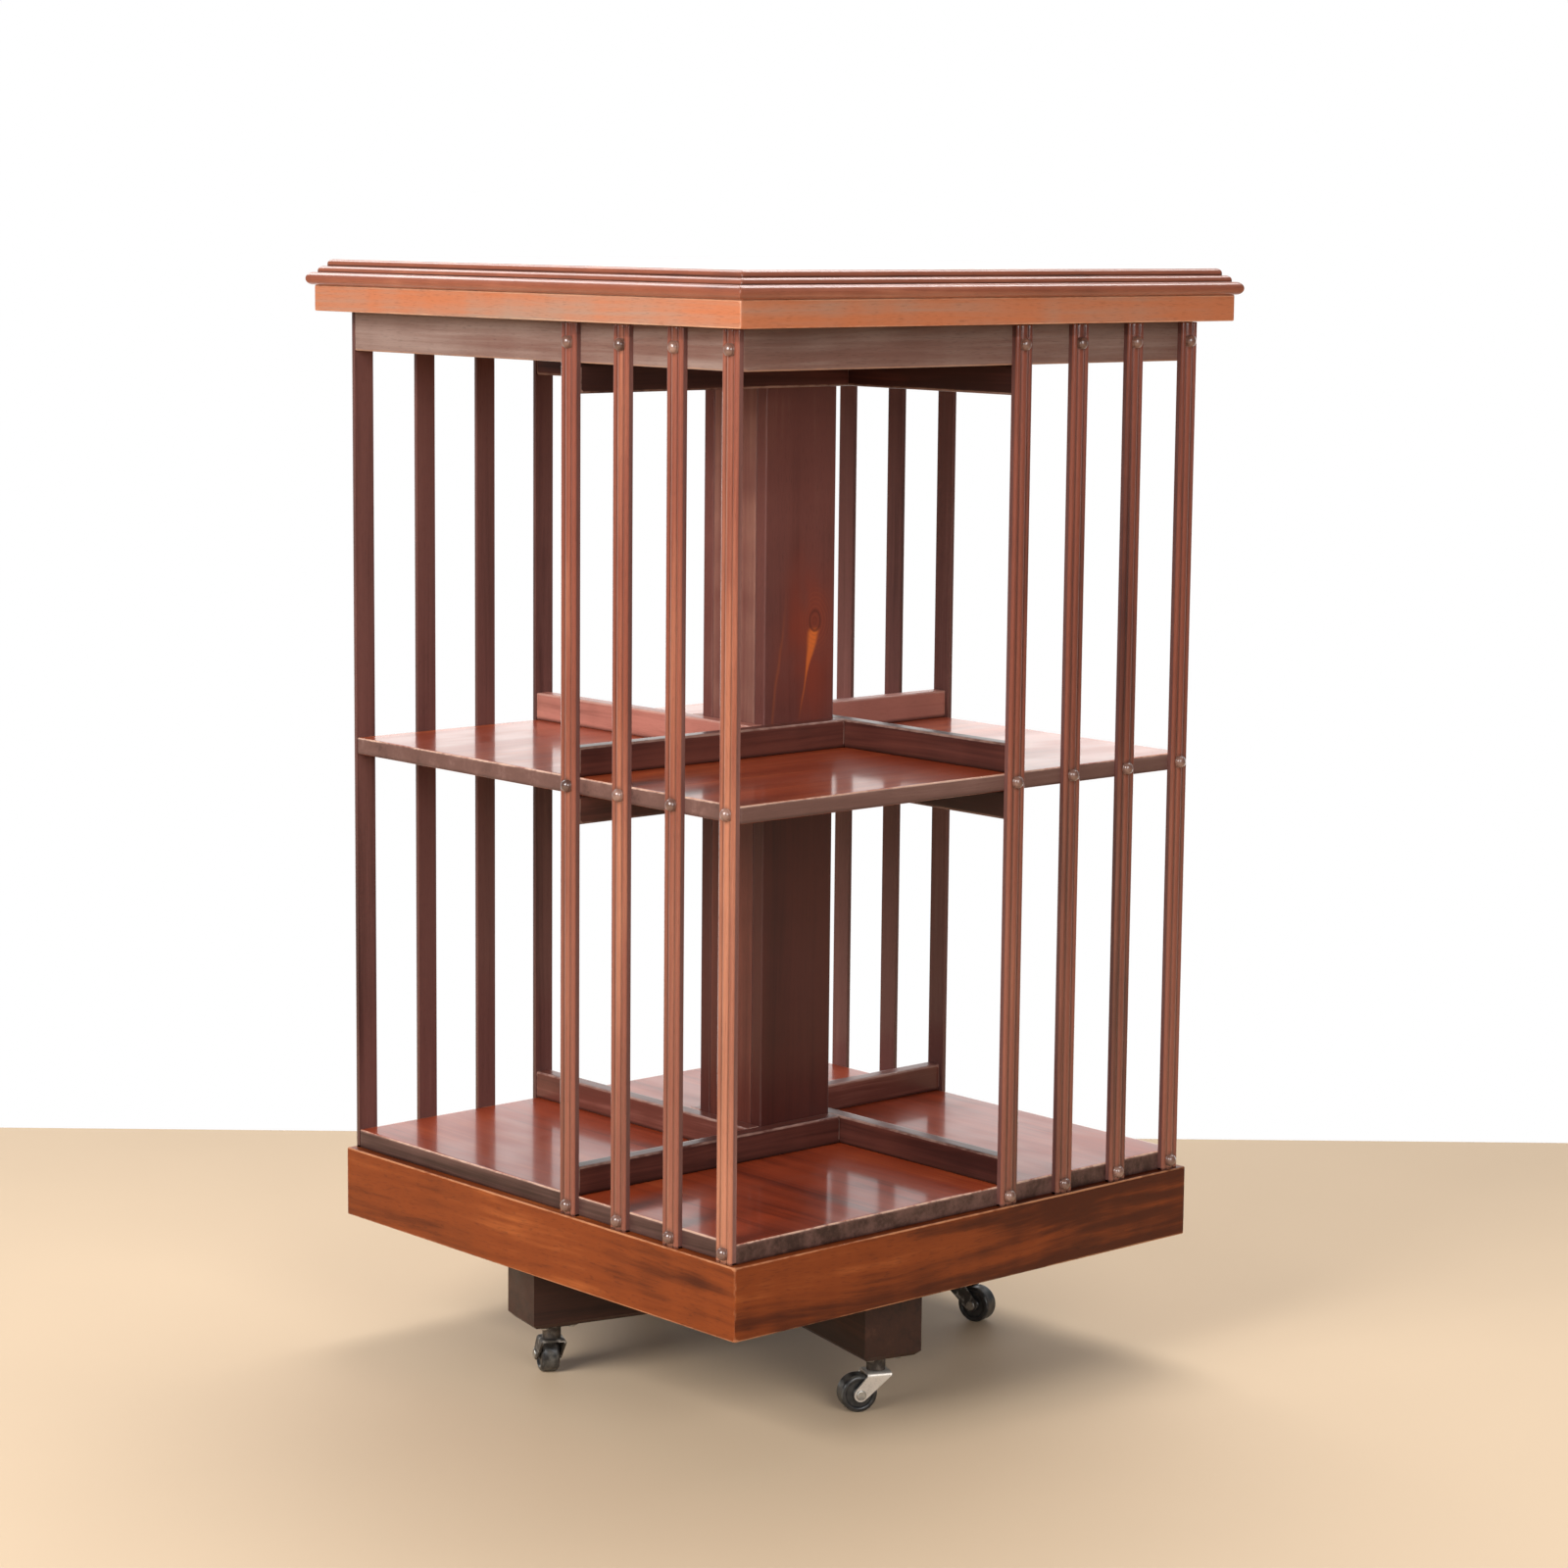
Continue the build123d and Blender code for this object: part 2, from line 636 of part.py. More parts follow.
with BuildPart() as slat:
    with BuildSketch(Plane.XY.offset(plinth_top)):
        with BuildLine():
            back = Line((slat_edge, -half), (-slat_edge, -half))
            left_side = Line(back @ 1, (-slat_edge, -slat_crest + side_round))
            left_reed = ThreePointArc(
                left_side @ 1, (-side_crest, -slat_crest + side_reed_drop), (-reed_edge, -stud_seat)
            )
            middle_reed = ThreePointArc(left_reed @ 1, (0, -slat_crest), (reed_edge, -stud_seat))
            right_reed = ThreePointArc(
                middle_reed @ 1,
                (side_crest, -slat_crest + side_reed_drop),
                (slat_edge, -slat_crest + side_round),
            )
            Line(right_reed @ 1, back @ 0)
        make_face()
    extrude(amount=slat_length)
    with Locations([face_plane(0, 0, height, slat_crest) for height in stud_heights]):
        CounterBoreHole(
            radius=shank_hole,
            counter_bore_radius=stud_radius + screw_play,
            counter_bore_depth=reed_depth,
            depth=slat_thick,
        )
for side_number, side in enumerate(sides):
    for place, along in enumerate(slat_centres, start=1):
        placed = slat.part.moved(Location((along, 0, 0))).rotate(Axis.Z, 90 * side_number)
        placed.label = f"slat_{side}_{place}"
        export_step(placed, f"parts/slat_{side}_{place}.step")

# A turned button on a shank, drawn with its seat at Z = 0 and its crown upwards. The
# dome passes through a shoulder a little fuller than a straight cone would be.
stud_height = stud_stand + reed_depth
shank_length = stud_seat - half + stud_bite
shoulder_radius = stud_radius * stud_shoulder_out
shoulder_height = stud_rim + (stud_height - stud_rim) * stud_shoulder_up
with BuildPart() as stud:
    with BuildSketch(Plane.XZ):
        with BuildLine():
            axis_line = Line((0, -shank_length), (0, stud_height))
            dome = ThreePointArc(axis_line @ 1, (shoulder_radius, shoulder_height), (stud_radius, stud_rim))
            rim = Line(dome @ 1, (stud_radius, 0))
            under = Line(rim @ 1, (stud_shank_radius, 0))
            down = Line(under @ 1, (stud_shank_radius, -shank_length))
            Line(down @ 1, axis_line @ 0)
        make_face()
    revolve(axis=Axis.Z)
stud_places = [plane.location for plane in stud_planes(stud_seat, stud_heights)]
slat_studs = Compound(label="slat_studs", children=[place * copy_of(stud.part) for place in stud_places])
export_step(slat_studs, "parts/slat_studs.step")
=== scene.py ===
"""Looks of a revolving bookcase: mahogany boards, reeded slats, turned studs and castors.

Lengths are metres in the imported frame: +Z up, the floor at Z = 0 and the spindle on the Z
axis. The side called front faces -Y, and the others follow by quarter turns about Z.
"""

import json
import logging
import math
from collections.abc import Callable
from dataclasses import dataclass, field, replace
from enum import Enum, IntEnum

import bpy
import numpy as np
from mathutils import Matrix, Vector


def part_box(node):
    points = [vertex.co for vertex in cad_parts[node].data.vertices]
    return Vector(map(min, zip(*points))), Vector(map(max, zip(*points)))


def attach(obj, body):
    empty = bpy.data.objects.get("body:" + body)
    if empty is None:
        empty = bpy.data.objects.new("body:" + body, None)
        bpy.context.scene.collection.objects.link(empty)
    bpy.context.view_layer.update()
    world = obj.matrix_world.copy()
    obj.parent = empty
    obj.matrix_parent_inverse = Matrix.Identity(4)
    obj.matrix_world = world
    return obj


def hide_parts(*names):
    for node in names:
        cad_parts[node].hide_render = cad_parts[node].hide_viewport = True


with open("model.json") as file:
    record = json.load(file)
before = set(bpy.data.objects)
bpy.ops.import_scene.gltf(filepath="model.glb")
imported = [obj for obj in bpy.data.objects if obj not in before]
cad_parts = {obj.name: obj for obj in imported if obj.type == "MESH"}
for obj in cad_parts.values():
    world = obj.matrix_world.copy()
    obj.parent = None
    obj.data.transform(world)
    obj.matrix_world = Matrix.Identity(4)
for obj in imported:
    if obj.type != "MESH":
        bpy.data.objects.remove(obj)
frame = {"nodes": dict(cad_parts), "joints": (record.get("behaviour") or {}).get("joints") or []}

log = logging.getLogger("bookcase")

MM = 0.001
QUARTER = math.pi / 2
ARC_STEPS = 4                # points of each eased arris
FADE = 2 * MM                # from an arris to where its wear has died away
FADE_SHARE = 0.3             # the most of a board's edge that it may take up
MITRE_JOINT = 0.08 * MM      # hairline left at each mitre
MITRE_WEAR_AND_HIGHLIGHT = 0.8             # wear and painted highlight of an upright corner
MITRE_FADE = 3 * MM          # from that corner to where its wear has died away
SHARP_ANGLE = math.radians(50)
MIDDLE_TONE = 0.5
# colour of dirt in hollows and of painted shade in grooves and nooks, under the frieze and round studs
GRIME_AND_SHADE = (0.016, 0.007, 0.005)
NUMBERS = range(1, 5)        # the slats of a side and the castors are numbered 1 to 4
SEED = 20

Colour = tuple[float, float, float]
Socket = bpy.types.NodeSocket
Input = float | tuple | Socket


class Side(IntEnum):
    """A side of the case, counted in quarter turns from the front."""

    FRONT = 0
    RIGHT = 1
    BACK = 2
    LEFT = 3

    @property
    def word(self) -> str:
        """The side's name in the frame's node names."""
        return self.name.lower()


class Grain(IntEnum):
    """The local axis that a board's grain follows."""

    X = 0
    Y = 1
    Z = 2


class Pattern(Enum):
    """Where a finish reads its pattern from."""

    BOARD = "board"      # the grain attribute of a piece made here
    CAD = "cad"          # object coordinates of a node of the frame


# ------------------------------------------------------------------------ surfaces
@dataclass
class Outline:
    """A closed flat outline, anticlockwise, that can shrink, with its wear and its dirt and painted shade.

    Args:
        start: An (n, 2) array: each point, or the corner that an arc's point belongs to.
        slide: The way each start moves when the outline shrinks by one unit.
        ray: Unit vector from an arc's centre to its point, and zero elsewhere.
        radius: Radius of the arc at each point, and zero elsewhere.
        wear: How proud each point stands, 1 on an arris and 0 on a flat.
        hollow: How dark each point is painted, 0 to 1, with dirt and painted shade in grooves and nooks.
    """

    start: np.ndarray
    slide: np.ndarray
    ray: np.ndarray
    radius: np.ndarray
    wear: np.ndarray
    hollow: np.ndarray

    @classmethod
    def drawn(cls, points: np.ndarray, wear: np.ndarray, hollow: np.ndarray) -> "Outline":
        """An outline from its points, with no arcs that have to keep their roundness."""
        return cls(points, inward(points), np.zeros_like(points), np.zeros(len(points)), wear, hollow)

    @property
    def points(self) -> np.ndarray:
        """The outline's points as it is drawn."""
        return self.shrunk(0.0)

    def shrunk(self, inset: float) -> np.ndarray:
        """The points after the outline has shrunk.

        An arc of radius r keeps its centre until only a speck of it is left. From there
        its centre moves with the corner, so that the outline never crosses itself.
        """
        speck = np.where(self.radius > 0, 0.04 * MM, 0.0)
        far = np.maximum(inset, self.radius - speck) + speck
        near = np.maximum(self.radius - inset, speck)
        return self.start + self.slide * far[:, None] + self.ray * near[:, None]


@dataclass
class Shell:
    """One closed surface and what its finish reads at each point.

    Args:
        points: An (n, 3) array of places.
        faces: Point numbers of each face, anticlockwise from outside.
        wear: 1 on an arris, 0 on a flat.
        hollow: How dark a point is painted, 1 in a groove or a corner, 0 in the open: dirt and painted shade.
        grain: An (n, 3) array of places in the board, its grain along the first.
        tone: How light the piece is, 0 to 1, from its finish and from painted light and shade, or an array
            with each point's.
    """

    points: np.ndarray
    faces: list[tuple[int, ...]]
    wear: np.ndarray
    hollow: np.ndarray
    grain: np.ndarray = field(default_factory=lambda: np.zeros((0, 3)))
    tone: float | np.ndarray = MIDDLE_TONE

    def cut_from(self, grain: Grain, rng: np.random.Generator) -> "Shell":
        """Gives the board its own place in a plank, with the grain along one local axis."""
        order = [grain, (grain + 1) % 3, (grain + 2) % 3]
        shift = rng.uniform(-4.0, 4.0, 3)
        return replace(self, grain=self.points[:, order] + shift)

    def toned(self, tone: float | np.ndarray) -> "Shell":
        """The same shell in a lighter or darker tone."""
        return replace(self, tone=tone)

    def turned(self, angle: float) -> "Shell":
        """The same shell turned about Z, where x' = x cos a - y sin a and y' = x sin a + y cos a."""
        c, s = math.cos(angle), math.sin(angle)
        return replace(self, points=self.points @ np.array([[c, s, 0], [-s, c, 0], [0, 0, 1]]))

    def on_side(self, side: int) -> "Shell":
        """A shell of the front side, turned to another side."""
        return self.turned(QUARTER * side)

    def moved(self, *shift: float) -> "Shell":
        """The same shell, moved."""
        return replace(self, points=self.points + np.array(shift))


def joined(shells: list[Shell]) -> Shell:
    """Puts several shells into one, with each point's tone kept as an array."""
    starts = np.cumsum([0] + [len(s.points) for s in shells[:-1]])
    faces = [tuple(int(i + start) for i in f) for s, start in zip(shells, starts) for f in s.faces]
    whole = Shell(
        np.concatenate([s.points for s in shells]),
        faces,
        np.concatenate([s.wear for s in shells]),
        np.concatenate([s.hollow for s in shells]),
        np.concatenate([s.grain if len(s.grain) else s.points for s in shells]),
    )
    whole.tone = np.concatenate([np.broadcast_to(s.tone, len(s.points)) for s in shells])
    return whole


def eased(corners: np.ndarray, radius: float) -> Outline:
    """Rounds every corner of a polygon and puts a point where wear dies away on each flat.

    At a corner with unit vectors p and q to its neighbours and an angle t between them,
    the arc's centre is (p + q) / |p + q| * radius / sin(t / 2) away, its ends are
    radius / tan(t / 2) away, and its points swing evenly from one end to the other.

    Args:
        corners: An (n, 2) array, anticlockwise.
        radius: Radius of the easing.

    Returns:
        The outline, with wear and painted highlight on its arcs.
    """
    before, after = np.roll(corners, 1, 0) - corners, np.roll(corners, -1, 0) - corners
    long_before = np.linalg.norm(before, axis=1, keepdims=True)
    long_after = np.linalg.norm(after, axis=1, keepdims=True)
    p, q = before / long_before, after / long_after
    half = np.arccos(np.clip((p * q).sum(1, keepdims=True), -1, 1)) / 2
    reach = radius / np.tan(half)
    bisector = (p + q) / np.linalg.norm(p + q, axis=1, keepdims=True) / np.sin(half)
    start, end = p * reach - bisector * radius, q * reach - bisector * radius
    swing = (math.pi - 2 * half)[:, None]
    share = np.linspace(0, 1, ARC_STEPS)[None, :, None]
    from_start, from_end = np.sin((1 - share) * swing), np.sin(share * swing)
    arc = (from_start * start[:, None] + from_end * end[:, None]) / np.sin(swing)
    lead = corners + p * (reach + np.minimum(FADE, FADE_SHARE * long_before))
    tail = corners + q * (reach + np.minimum(FADE, FADE_SHARE * long_after))
    in_before, in_after = np.stack([p[:, 1], -p[:, 0]], 1), np.stack([-q[:, 1], q[:, 0]], 1)
    each = (len(corners), ARC_STEPS, 2)

    def row(first: np.ndarray, arcs: np.ndarray, last: np.ndarray) -> np.ndarray:
        """One corner's lead, arc and tail in order, for every corner."""
        rows = [first[:, None], np.broadcast_to(arcs, each), last[:, None]]
        return np.concatenate(rows, 1).reshape(-1, 2)

    none = np.zeros_like(corners)
    arched = np.tile(np.r_[0.0, np.ones(ARC_STEPS), 0.0], len(corners))
    return Outline(
        row(lead, corners[:, None], tail), row(in_before, bisector[:, None], in_after),
        row(none, arc / radius, none), arched * radius, arched, np.zeros(len(arched)),
    )


def rectangle(low: tuple[float, float], high: tuple[float, float]) -> np.ndarray:
    """The corners of an upright rectangle, anticlockwise."""
    return np.array([low, (high[0], low[1]), high, (low[0], high[1])])


def arc_through(a: tuple, b: tuple, c: tuple, steps: int) -> np.ndarray:
    """Points of the circle through a, b and c, evenly from a to c.

    The centre is where the middle normals of ab and ac meet; each point is the centre
    plus the radius at an angle that runs evenly from a's to c's by way of b's.
    """
    first, second, third = (np.array(p, float) for p in (a, b, c))
    to_b, to_c = second - first, third - first
    twice = 2 * (to_b[0] * to_c[1] - to_b[1] * to_c[0])
    bb, cc = to_b @ to_b, to_c @ to_c
    centre = first + np.array([to_c[1] * bb - to_b[1] * cc, to_b[0] * cc - to_c[0] * bb]) / twice
    rays = np.array([first, second, third]) - centre
    angles = np.unwrap(np.arctan2(rays[:, 1], rays[:, 0]))
    turn = np.linspace(angles[0], angles[2], steps)
    return centre + np.linalg.norm(rays[0]) * np.stack([np.cos(turn), np.sin(turn)], 1)


def inward(points: np.ndarray) -> np.ndarray:
    """The way each point of an outline moves when the outline shrinks by one unit.

    With n and m the inward normals of the two edges at a point, it is (n + m) / (1 + n.m).
    """
    edge = np.roll(points, -1, 0) - points
    edge = edge / np.maximum(np.linalg.norm(edge, axis=1, keepdims=True), 1e-12)
    after = np.stack([-edge[:, 1], edge[:, 0]], 1)
    before = np.roll(after, 1, 0)
    return (after + before) / (1 + (after * before).sum(1, keepdims=True))


def ring_faces(rings: int, around: int, outside_in: bool = False) -> list[tuple[int, ...]]:
    """Quads between successive rings of points.

    Args:
        rings: How many rings.
        around: Points in each ring.
        outside_in: True turns each face the other way.
    """
    at = np.arange(rings * around).reshape(rings, around)
    here, there = at[:-1], at[1:]
    corners = [here, np.roll(here, -1, 1), np.roll(there, -1, 1), there]
    if outside_in:
        corners = corners[::-1]
    return [tuple(q) for q in np.stack(corners, -1).reshape(-1, 4).tolist()]


def prism(
    outline: Outline,
    low: float,
    high: float,
    round_over: float,
    axis: int = 2,
    stations: tuple[float, ...] = (),
    fade: float = FADE,
) -> Shell:
    """Carries an outline along an axis and rounds it over at both ends.

    Near an end, at angle t of the round-over, the outline is shrunk by
    radius * (1 - sin t) and lies radius * (1 - cos t) inside the end.

    Args:
        outline: The section, in the two axes that follow the third in turn.
        low: Where it starts along the axis.
        high: Where it ends.
        round_over: Radius of the round-over.
        axis: Number of the axis that it is carried along.
        stations: Places of further rings between the ends.
        fade: Distance from an arris to where its wear has died away.

    Returns:
        The closed shell.
    """
    turn = np.linspace(0, QUARTER, ARC_STEPS)
    shrink = np.r_[round_over + fade, round_over * (1 - np.sin(turn)), 0.0]
    depth = np.r_[0.0, round_over * (1 - np.cos(turn)), round_over + fade]
    edge = np.r_[0.0, np.ones(ARC_STEPS), 0.0]
    none = np.zeros(len(stations))
    shrinks = np.r_[shrink, none, shrink[::-1]]
    heights = np.r_[low + depth, np.array(stations), high - depth[::-1]]
    edges = np.r_[edge, none, edge[::-1]]
    flats = (shrinks <= round_over * 0.5).astype(float)
    around, rings = len(outline.points), len(shrinks)
    ring = np.stack([outline.shrunk(inset) for inset in shrinks])
    points = np.empty((rings, around, 3))
    points[..., (axis + 1) % 3] = ring[..., 0]
    points[..., (axis + 2) % 3] = ring[..., 1]
    points[..., axis] = heights[:, None]
    wear = np.maximum(edges[:, None], outline.wear[None] * flats[:, None])
    hollow = outline.hollow[None] * flats[:, None]
    faces = ring_faces(rings, around)
    faces.append(tuple(range(around))[::-1])
    faces.append(tuple(range((rings - 1) * around, rings * around)))
    return Shell(points.reshape(-1, 3), faces, wear.ravel(), hollow.ravel())


def block(low: tuple, high: tuple, axis: int, round_over: float, corner: float | None = None) -> Shell:
    """A board between two corners, carried along one axis, with every edge eased.

    Args:
        low: Lowest corner.
        high: Highest corner.
        axis: Axis that the section is carried along.
        round_over: Radius of the end edges.
        corner: Radius of the long edges; a little over round_over where none is given.
    """
    u, v = (axis + 1) % 3, (axis + 2) % 3
    section = eased(rectangle((low[u], low[v]), (high[u], high[v])), corner or round_over * 1.3)
    return prism(section, low[axis], high[axis], round_over, axis)


def mitred_length(section: Outline, corner_round: float) -> Shell:
    """Carries a section along the front side, with a mitre at each end.

    The section's first number is the depth d from the Z axis. Along the middle a point
    lies at y = -d. Round a corner of radius r, at angle t from 0 to 45 degrees, it lies
    at x = d - r + r sin t and y = -(d - r + r cos t), and the other end is the mirror.

    Args:
        section: The section in depth and height, anticlockwise.
        corner_round: Radius of the upright corner.
    """
    depth, height = section.points[:, 0], section.points[:, 1]
    turn = np.linspace(0, math.pi / 4, ARC_STEPS)
    along = np.r_[-corner_round - MITRE_FADE, corner_round * (np.sin(turn) - 1)]
    drop = np.r_[0.0, corner_round * (1 - np.cos(turn))]
    along[-1] -= MITRE_JOINT
    edge = np.r_[0.0, np.full(ARC_STEPS, MITRE_WEAR_AND_HIGHLIGHT)]
    x = np.concatenate([-(depth[None] + along[::-1, None]), depth[None] + along[:, None]])
    y = -(depth[None] - np.r_[drop[::-1], drop][:, None])
    z = np.broadcast_to(height, x.shape)
    edges = np.r_[edge[::-1], edge]
    around, rings = len(depth), len(x)
    wear = np.maximum(section.wear[None], edges[:, None])
    hollow = np.broadcast_to(section.hollow, x.shape)
    faces = ring_faces(rings, around, outside_in=True)
    faces.append(tuple(range(around)))
    faces.append(tuple(range((rings - 1) * around, rings * around))[::-1])
    return Shell(np.stack([x, y, z], -1).reshape(-1, 3), faces, wear.ravel(), hollow.ravel())


def lathe(profile: np.ndarray, wear: np.ndarray, hollow: np.ndarray, around: int) -> Shell:
    """Turns a profile about Z into a closed shell with a pole at each end.

    A profile point of radius r and height h gives the ring (r cos t, r sin t, h).

    Args:
        profile: An (n, 2) array of radius and height, from the lower pole to the upper.
        wear: Wear at each profile point.
        hollow: Dirt and painted shade at each profile point.
        around: Points in each ring.
    """
    turn = np.linspace(0, 2 * math.pi, around, endpoint=False)
    radius, height = profile[1:-1, 0], profile[1:-1, 1]
    rings = np.stack(
        [
            radius[:, None] * np.cos(turn),
            radius[:, None] * np.sin(turn),
            np.broadcast_to(height[:, None], (len(radius), around)),
        ],
        -1,
    ).reshape(-1, 3)
    poles = np.array([[0, 0, profile[0, 1]], [0, 0, profile[-1, 1]]])
    count = len(rings)
    ring = np.arange(around)
    after = np.roll(ring, -1)
    last = count - around
    faces = ring_faces(len(radius), around)
    faces += [(count, int(b), int(a)) for a, b in zip(ring, after)]
    faces += [(count + 1, int(last + a), int(last + b)) for a, b in zip(ring, after)]
    spread = [np.r_[np.repeat(mask[1:-1], around), mask[0], mask[-1]] for mask in (wear, hollow)]
    return Shell(np.concatenate([rings, poles]), faces, *spread)


def laid(shell: Shell, origin: np.ndarray, along: np.ndarray) -> Shell:
    """Stands a shell's Z axis along a direction and its origin at a place."""
    turn = np.array(Vector(along).to_track_quat("Z", "Y").to_matrix())
    return replace(shell, points=shell.points @ turn.T + origin)


# ------------------------------------------------------------------------ shader benches
class Bench:
    """Adds nodes to a shader tree and joins them."""

    def __init__(self, tree: bpy.types.NodeTree) -> None:
        """Args: tree: The tree to work on."""
        self.tree = tree

    def put(self, into: bpy.types.NodeSocket, value: Input) -> None:
        """Joins a socket to an input, or writes a value on it."""
        if isinstance(value, bpy.types.NodeSocket):
            self.tree.links.new(value, into)
        elif isinstance(value, tuple) and into.type == "RGBA":
            into.default_value = (*value, 1.0)
        else:
            into.default_value = value

    def feed(self, node: bpy.types.Node, inputs: dict) -> None:
        """Joins or writes several inputs of a node."""
        for name, value in inputs.items():
            self.put(node.inputs[name], value)

    def add(self, kind: str, inputs: dict | None = None, **settings: object) -> bpy.types.Node:
        """A new node with its settings and inputs."""
        node = self.tree.nodes.new(kind)
        for name, value in settings.items():
            setattr(node, name, value)
        self.feed(node, inputs or {})
        return node

    def use(self, name: str, inputs: dict) -> bpy.types.bpy_prop_collection:
        """The outputs of a shared node group that is fed with these inputs."""
        return self.add("ShaderNodeGroup", inputs, node_tree=group(name)).outputs

    def painted(self, name: str) -> Socket:
        """A number that every point of a piece carries."""
        return self.add("ShaderNodeAttribute", attribute_name=name).outputs["Fac"]

    def at_object(self) -> Socket:
        """The place in object coordinates."""
        return self.add("ShaderNodeTexCoord").outputs["Object"]

    def bump(self, height: Input, strength: float, distance: float) -> Socket:
        """Normals tilted by a height."""
        values = {"Strength": strength, "Distance": distance, "Height": height}
        return self.add("ShaderNodeBump", values).outputs[0]

    def math(self, operation: str, a: Input, b: Input = 0.0, clamp: bool = False) -> Socket:
        """One sum of one or two numbers."""
        return self.add("ShaderNodeMath", {0: a, 1: b}, operation=operation, use_clamp=clamp).outputs[0]

    def times(self, a: Input, b: Input, clamp: bool = False) -> Socket:
        """One number times another."""
        return self.math("MULTIPLY", a, b, clamp)

    def less(self, a: Input, b: Input, clamp: bool = False) -> Socket:
        """One number less another."""
        return self.math("SUBTRACT", a, b, clamp)

    def total(self, a: Input, b: Input) -> Socket:
        """Two numbers added."""
        return self.math("ADD", a, b)

    def unsigned(self, value: Input) -> Socket:
        """A number without its sign."""
        return self.math("ABSOLUTE", value)

    def about_zero(self, value: Input, strength: Input) -> Socket:
        """Noise that swings about a half, made to swing about zero: (value - 0.5) * strength."""
        return self.times(self.less(value, 0.5), strength)

    def length(self, a: Input, b: Input) -> Socket:
        """The length of a step of a one way and b square to it: the root of a * a + b * b."""
        return self.math("SQRT", self.total(self.times(a, a), self.times(b, b)))

    def vector(self, operation: str, a: Input, b: Input) -> bpy.types.bpy_prop_collection:
        """The outputs of one sum of two vectors."""
        return self.add("ShaderNodeVectorMath", {0: a, 1: b}, operation=operation).outputs

    def scaled(self, vector: Input, scale: tuple) -> Socket:
        """A vector times another, axis by axis."""
        return self.vector("MULTIPLY", vector, scale)[0]

    def noise(self, vector: Input, scale: tuple, detail: float = 2.0, rough: float = 0.5) -> Socket:
        """Smooth noise from 0 to 1, stretched by a scale for each axis."""
        values = {"Vector": self.scaled(vector, scale), "Scale": 1.0, "Detail": detail, "Roughness": rough}
        return self.add("ShaderNodeTexNoise", values).outputs["Fac"]

    def ramp(self, value: Input, low: float, high: float, start: float = 0.0, end: float = 1.0) -> Socket:
        """Maps low to high onto start to end with soft ends."""
        values = {"Value": value, "From Min": low, "From Max": high, "To Min": start, "To Max": end}
        return self.add("ShaderNodeMapRange", values, interpolation_type="SMOOTHSTEP").outputs["Result"]

    def mix(self, share: Input, a: Input, b: Input) -> Socket:
        """Two colours mixed by a share."""
        inputs = {0: share, 6: a, 7: b}
        return self.add("ShaderNodeMix", inputs, data_type="RGBA", clamp_factor=True).outputs[2]


def new_group(
    name: str, takes: dict[str, str], gives: dict[str, str]
) -> tuple[bpy.types.NodeTree, Bench, dict, dict]:
    """An empty shader node group with named sockets.

    Args:
        name: The group's name.
        takes: Kind of each input, by name.
        gives: Kind of each output, by name.

    Returns:
        The group, a bench on it, its inputs inside the group and its outputs there.
    """
    tree = bpy.data.node_groups.new(name, "ShaderNodeTree")
    for label, kind in takes.items():
        tree.interface.new_socket(name=label, in_out="INPUT", socket_type=f"NodeSocket{kind}")
    for label, kind in gives.items():
        tree.interface.new_socket(name=label, in_out="OUTPUT", socket_type=f"NodeSocket{kind}")
    inside, outside = tree.nodes.new("NodeGroupInput"), tree.nodes.new("NodeGroupOutput")
    return tree, Bench(tree), inside.outputs, outside.inputs


def grain_group() -> bpy.types.NodeTree:
    """Mahogany: soft bands, fine lines, open pores, a cross figure and slow mottling.

    The place is bent a little across the grain, then read by noises stretched along it.
    Their sum runs from the dark colour through the middle one to the light one.
    """
    takes = {
        "Place": "Vector", "Dark": "Color", "Middle": "Color", "Light": "Color",
        "Contrast": "Float", "Figure": "Float", "Pores": "Float", "Tone": "Float",
    }
    gives = {"Color": "Color", "Height": "Float", "Smear": "Float"}
    tree, on, given, out = new_group("mahogany_grain", takes, gives)
    place = given["Place"]
    slow = {"Vector": on.scaled(place, (2.2, 11, 11)), "Scale": 1.0, "Detail": 2.0}
    bend = on.add("ShaderNodeTexNoise", slow)
    centred = on.vector("ADD", bend.outputs["Color"], (-0.5, -0.5, -0.5))[0]
    bent = on.vector("ADD", place, on.scaled(centred, (0.0, 0.020, 0.020)))[0]
    bands = on.noise(bent, (1.5, 46, 46), 4.0, 0.62)
    lines = on.noise(bent, (7, 330, 330), 3.0, 0.6)
    fibres = on.noise(bent, (40, 1900, 1900), 1.0)
    pores = on.ramp(on.noise(bent, (130, 2600, 2600), 0.0), 0.62, 0.74)
    figure = on.noise(bent, (34, 7, 7), 1.0)
    mottle = on.noise(place, (4.5, 9, 9), 1.0)
    value = on.total(on.about_zero(bands, 2.3), on.about_zero(lines, 1.0))
    value = on.times(on.total(value, on.about_zero(mottle, 1.1)), given["Contrast"])
    value = on.total(on.total(value, on.about_zero(figure, given["Figure"])), given["Tone"])
    lower = on.mix(on.ramp(value, 0.0, 0.5), given["Dark"], given["Middle"])
    colour = on.mix(on.ramp(value, 0.5, 1.0), lower, given["Light"])
    pored = on.times(pores, given["Pores"])
    colour = on.mix(on.times(pored, 0.55), colour, (0.012, 0.005, 0.004))
    height = on.total(on.times(lines, 0.4), on.about_zero(fibres, 0.5))
    on.put(out["Color"], colour)
    on.put(out["Height"], on.less(height, pored))
    on.put(out["Smear"], on.noise(place, (9, 23, 23), 2.0))
    return tree


